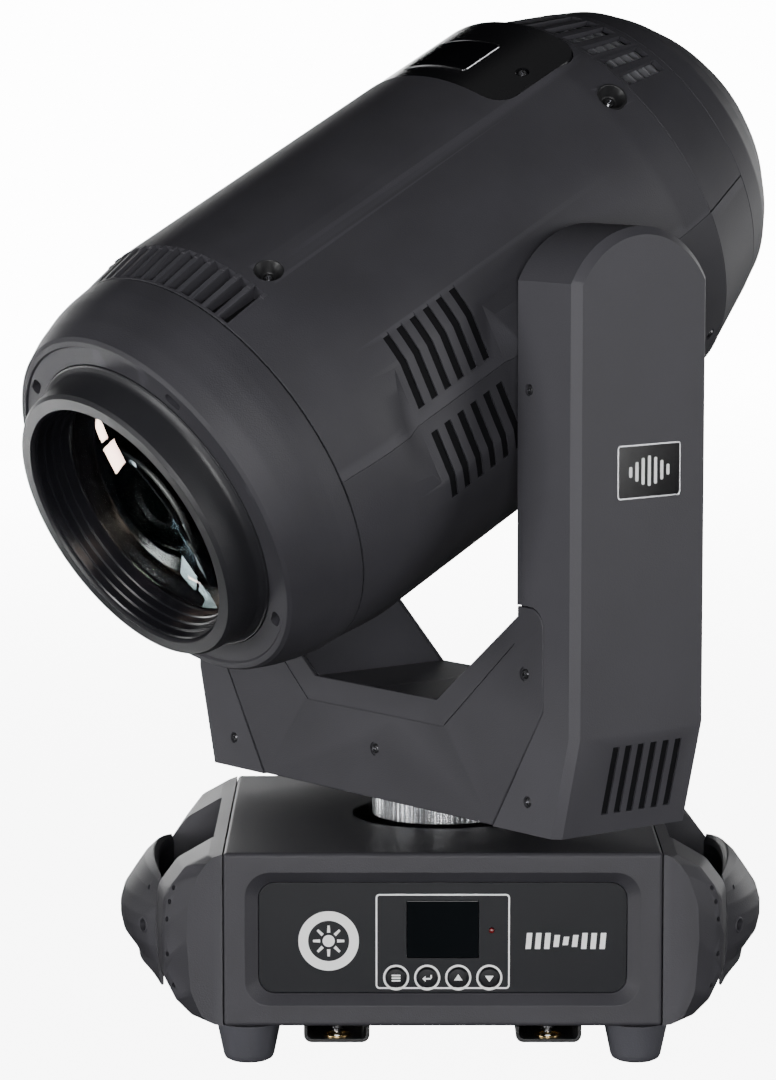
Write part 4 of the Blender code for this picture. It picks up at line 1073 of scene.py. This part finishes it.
def rails():
    """Omega bracket channels, each with a locking stud and a brass bush at both open ends."""
    half, drop, wall, corner, reach = 18.6, 9.6, 2.0, 5.0, 121.0
    outer = [(-half, -0.3), (-half, -drop, corner), (half, -drop, corner), (half, -0.3)]
    inside, floor = half - wall, wall - drop
    inner = [
        (inside, -0.3), (inside, floor, corner - wall), (-inside, floor, corner - wall),
        (-inside, -0.3),
    ]
    bush = rounded([(7.8, -6.7, 0.4), (5.6, -6.7, 0.4), (5.6, -9.4), (7.8, -9.4)], 3, closed=True)
    stud = rounded(
        [
            (0, -6.4), (1.8, -6.4, 0.4), (2.2, -5.9), (2.2, -3.6), (3.6, -3.6, 0.3), (3.6, -1.2, 0.3),
            (4.6, -1.2), (4.6, -0.3), (0, -0.3),
        ],
        3,
    )
    bushes, studs = [], []
    for side, sx in (("left", -1), ("right", 1)):
        x = sx * RAIL_X
        rail = sheet([rounded(outer, 6) + rounded(inner, 6)], -reach, reach, 0.25, STAND_Y)
        moved(rail, Matrix.Translation((x, 0, 0)))
        for y in (-LOCK_Y, LOCK_Y):
            place = Matrix.Translation((x, y, 0))
            boolean(rail, rod(8.0, -14, -4, 48, place))
            bushes.append(moved(lathe(bush, 64), place))
            studs.append(moved(lathe(stud, 32, closed=False), place))
        node = f"omega_rail_{side}"
        finish(rail, f"rail_{side}", "base", "black_metal", 30, (node,))
    finish(merged(bushes), "rail_bushes", "base", "brass", 40)
    finish(merged(studs), "rail_studs", "base", "steel", 30)


def end_cap():
    slim = [
        (5, 1.5, 2), (12, 6, 6), (18, 20, 14), (20.2, 50, 30), (19.5, 70, 20), (14, 86, 14), (9, 93, 5),
        (5, 97, 3),
    ]
    fuller = [
        (8, 1.5, 2), (17, 3.5, 6), (27, 12, 9), (34, 27, 14), (35.5, 50, 30), (33.5, 74, 20),
        (22, 89, 10), (8, 96.5, 4),
    ]
    full = [
        (8, 1.5, 2), (24, 3, 6), (33, 10, 8), (39, 22, 12), (40, 50, 30), (39.3, 70, 12), (28, 85, 12),
        (8.6, 96.3, 6),
    ]
    sections = []
    outlines = (slim, fuller, full, full, fuller, slim)
    for y, outline in zip((-123.7, -108, -66, 66, 108, 123.7), outlines):
        points = rounded([(0, 0.5)] + outline + [(0, 98.8)], 4)
        sections.append([(CAP_X + x, y, z) for x, z in points])
    cap = skin(sections)
    form = bmesh.new()
    form.from_mesh(cap.data)
    for y in (-116.5, -112, 112, 116.5):
        bisect(form, (0, y, 0), (0, 1, 0))
    for vert in form.verts:
        if 110 < abs(vert.co.y) < 120:  # a rounded shoulder between the front face and the side
            vert.co.x += 2.2 * min(1.0, (vert.co.x - CAP_X) / 12)
    form.to_mesh(cap.data)
    form.free()
    gap = 62.3
    boolean(cap, block((131, -gap, -10), (200, gap, 130)))
    holes = []
    for side in (-1, 1):
        for x, z in ((152.6, 78), (155.6, 70), (157.2, 60), (157.0, 40), (153.5, 22)):
            spot = facing((x, side * 114 * 1.01, z), (0.72, side * 0.69, 0.1))
            holes.append(rod(1.5, -6, 6, 20, spot))
    boolean(cap, holes)
    for side in (-1, 1):
        y = side * gap + side * 2.2
        boolean(cap, block((157.5, y - 1.2, 10), (165, y + 1.2, 17)))
    soften(cap, 1.6, 3, 20)
    return cap


def handle_sections():
    outer = [
        (165.5, 77.5, 1.5), (168.5, 80.3, 1.5), (174, 75.5, 6), (180, 67, 9), (186, 58, 9),
        (188.5, 49, 9), (188.5, 41, 9), (186.5, 32.5, 6), (178.5, 22.5, 1.2), (177.5, 17, 1.5),
        (168, 9.5, 2),
    ]
    inner = [
        (163, 11, 2), (170, 21, 5), (177, 31, 6), (180, 41, 6), (180, 50, 6), (177.5, 57.5, 6),
        (171.5, 66.5, 6), (165, 73, 2),
    ]
    loop = rounded(outer + inner, 4, closed=True)
    split = 5 * len(outer)
    sections = []
    for i in range(25):
        y = -62 + 124 * i / 24
        drop = (y / 64) ** 2
        section = []
        for j, (x, z) in enumerate(loop):
            share = 1.0 if j < split else 1.2
            inward = 25 * share * drop * min(1.0, max(0.0, (x - 160) / 28.5))
            lower = 5 * drop * max(0.0, (z - 45) / 32)
            section.append((x - inward, y, z - lower))
        sections.append(section)
    return sections


def end_mouldings():
    boss = rounded([(3.5, 2.9, 0.4), (4.7, 2.9, 0.8), (5.4, -1.5), (3.5, -1.5)], 3, closed=True)
    for side in ("left", "right"):
        cap = end_cap()
        grip = skin(handle_sections())
        collars = []
        for y in HANDLE_BOSSES:
            out = Vector((0.86, math.copysign(0.51, y), 0.0))
            spot = Vector((170.3, y, 43.0))
            boolean(grip, rod(3.4, -2.0, 6, 32, facing(spot, out)))
            boolean(grip, rod(1.5, -3.0, 6, 20, facing(spot + Vector((-2.0, 0, 22)), out)))
            collars.append(moved(lathe(boss, 48), facing(spot, out)))
        soften(grip, 0.9, 3, 40)
        ring = merged(collars)
        if side == "left":
            for item in (cap, grip, ring):
                flip_x(item)
        finish(cap, f"end_moulding_{side}", "base", "housing", 22, (f"end_cap_{side}",))
        finish(grip, f"grip_{side}", "base", "housing", 30, (f"carry_handle_{side}",))
        finish(ring, f"grip_bosses_{side}", "base", "housing", 30)
    places = []
    for side in (-1, 1):
        for y in HANDLE_BOSSES:
            out = Vector((side * 0.86, math.copysign(0.51, y), 0.0))
            places.append((Vector((side * 170.3, y, 43.0)) - out * 1.6, out))
    screws("screws_handle", "base", "dark_steel", places, radius=2.8, height=1.6)


def rear_connectors():
    low, high = INLET_X - 13.5, INLET_X + 13.5
    loops = [rectangle(94.7, 27.7, 2.0, 0, 50), rectangle(13.8, 10.3, 1.6, -INLET_X, 50)]
    loops += [circle(11.8, 64, -x, 50) for x in DATA_X]
    plate = sheet(loops, 121.8, 123.8, 0.2, STAND_BACK)
    finish(plate, "rear_plate", "base", "black_metal", 30, ("rear_panel",))
    inlet = block((low, 104, 40), (high, 125.2, 60))
    soften(inlet, 1.4, 3, 40)
    boolean(inlet, block((low + 2, 109, 42), (high - 2, 130, 58)))
    soften(inlet, 0.3, 2, 40)
    finish(inlet, "mains_inlet", "base", "socket_and_cup_shade", 30, ("power_inlet",))
    pins = []
    for x, z in ((-6, 46.5), (0, 49.5), (6, 46.5)):
        pins.append(block((INLET_X + x - 1, 108, z), (INLET_X + x + 1, 120, z + 4.5)))
    whole = merged(pins)
    soften(whole, 0.4, 2, 40)
    finish(whole, "mains_pins", "base", "brass", 40)
    contacts = []
    cup = [(11.5, 125.2, 0.8), (11.5, 104), (0, 104), (0, 110), (9.5, 110), (9.5, 125.2, 0.8)]
    for name, x in zip(("dmx_input", "dmx_output"), DATA_X):
        place = Matrix.Translation((x, 0, 50)) @ STAND_BACK
        socket_and_cup_shade = moved(lathe(rounded(cup, 4, closed=True), 64), place)
        finish(socket_and_cup_shade, f"{name}_cup", "base", "socket_and_cup_shade", 35, (name,))
        for angle in (90, 210, 330):
            dx, dz, _ = polar(4.4, angle, 0)
            place = Matrix.Translation((x + dx, 0, 50 + dz)) @ STAND_BACK
            contacts.append(rod(1.0, 109, 119, 16, place, 0.8))
    finish(merged(contacts), "data_contacts", "base", "brass", 40)
    places = [((x, 123.8, z), (0, 1, 0)) for x in (-90, 0, 90) for z in (26, 74)]
    places += [((x + sx * 12.6, 123.8, 50 + sx * 9.4), (0, 1, 0)) for x in DATA_X for sx in (-1, 1)]
    screws("screws_back", "base", "dark_steel", places, radius=2.4, height=1.2)


# ---- carried-over nodes ----------------------------------------------------------------------
CARRIED = {
    "black_metal": (
        "base_bottom_plate", "arm_frame_left", "arm_frame_right", "yoke_beam", "head_chassis",
        "zoom_carriage", "focus_carriage", "prism_arm", "fan_frame", "fan_rotor", "pan_motor",
        "tilt_motor",
    ),
    "aluminium": (
        "pan_shaft", "tilt_pulley", "pan_motor_pulley", "tilt_motor_pulley", "led_engine", "gobo_wheel"
    ),
    "cast": ("heatsink", "power_supply"),
    "dichroic": ("colour_wheel",),
    "inner_lens": ("prism",),
    "belt": ("pan_belt", "tilt_belt"),
}


def dress_nodes():
    for look, names in CARRIED.items():
        for name in names:
            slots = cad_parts[name].data.materials
            slots.clear()
            slots.append(LOOKS[look])


stage()
camera()
dress_nodes()
for upper in (True, False):
    head_shell(upper)
vent_slot_shades()
screw_cups()
hatch()
front_ring()
nose()
lenses()
rear_parts()
vent_lips()
yoke_covers()
yoke_arm("left", -1)
yoke_arm("right", 1)
yoke_screws()
pulley_ring()
base_shell()
panel()
feet()
rails()
end_mouldings()
rear_connectors()
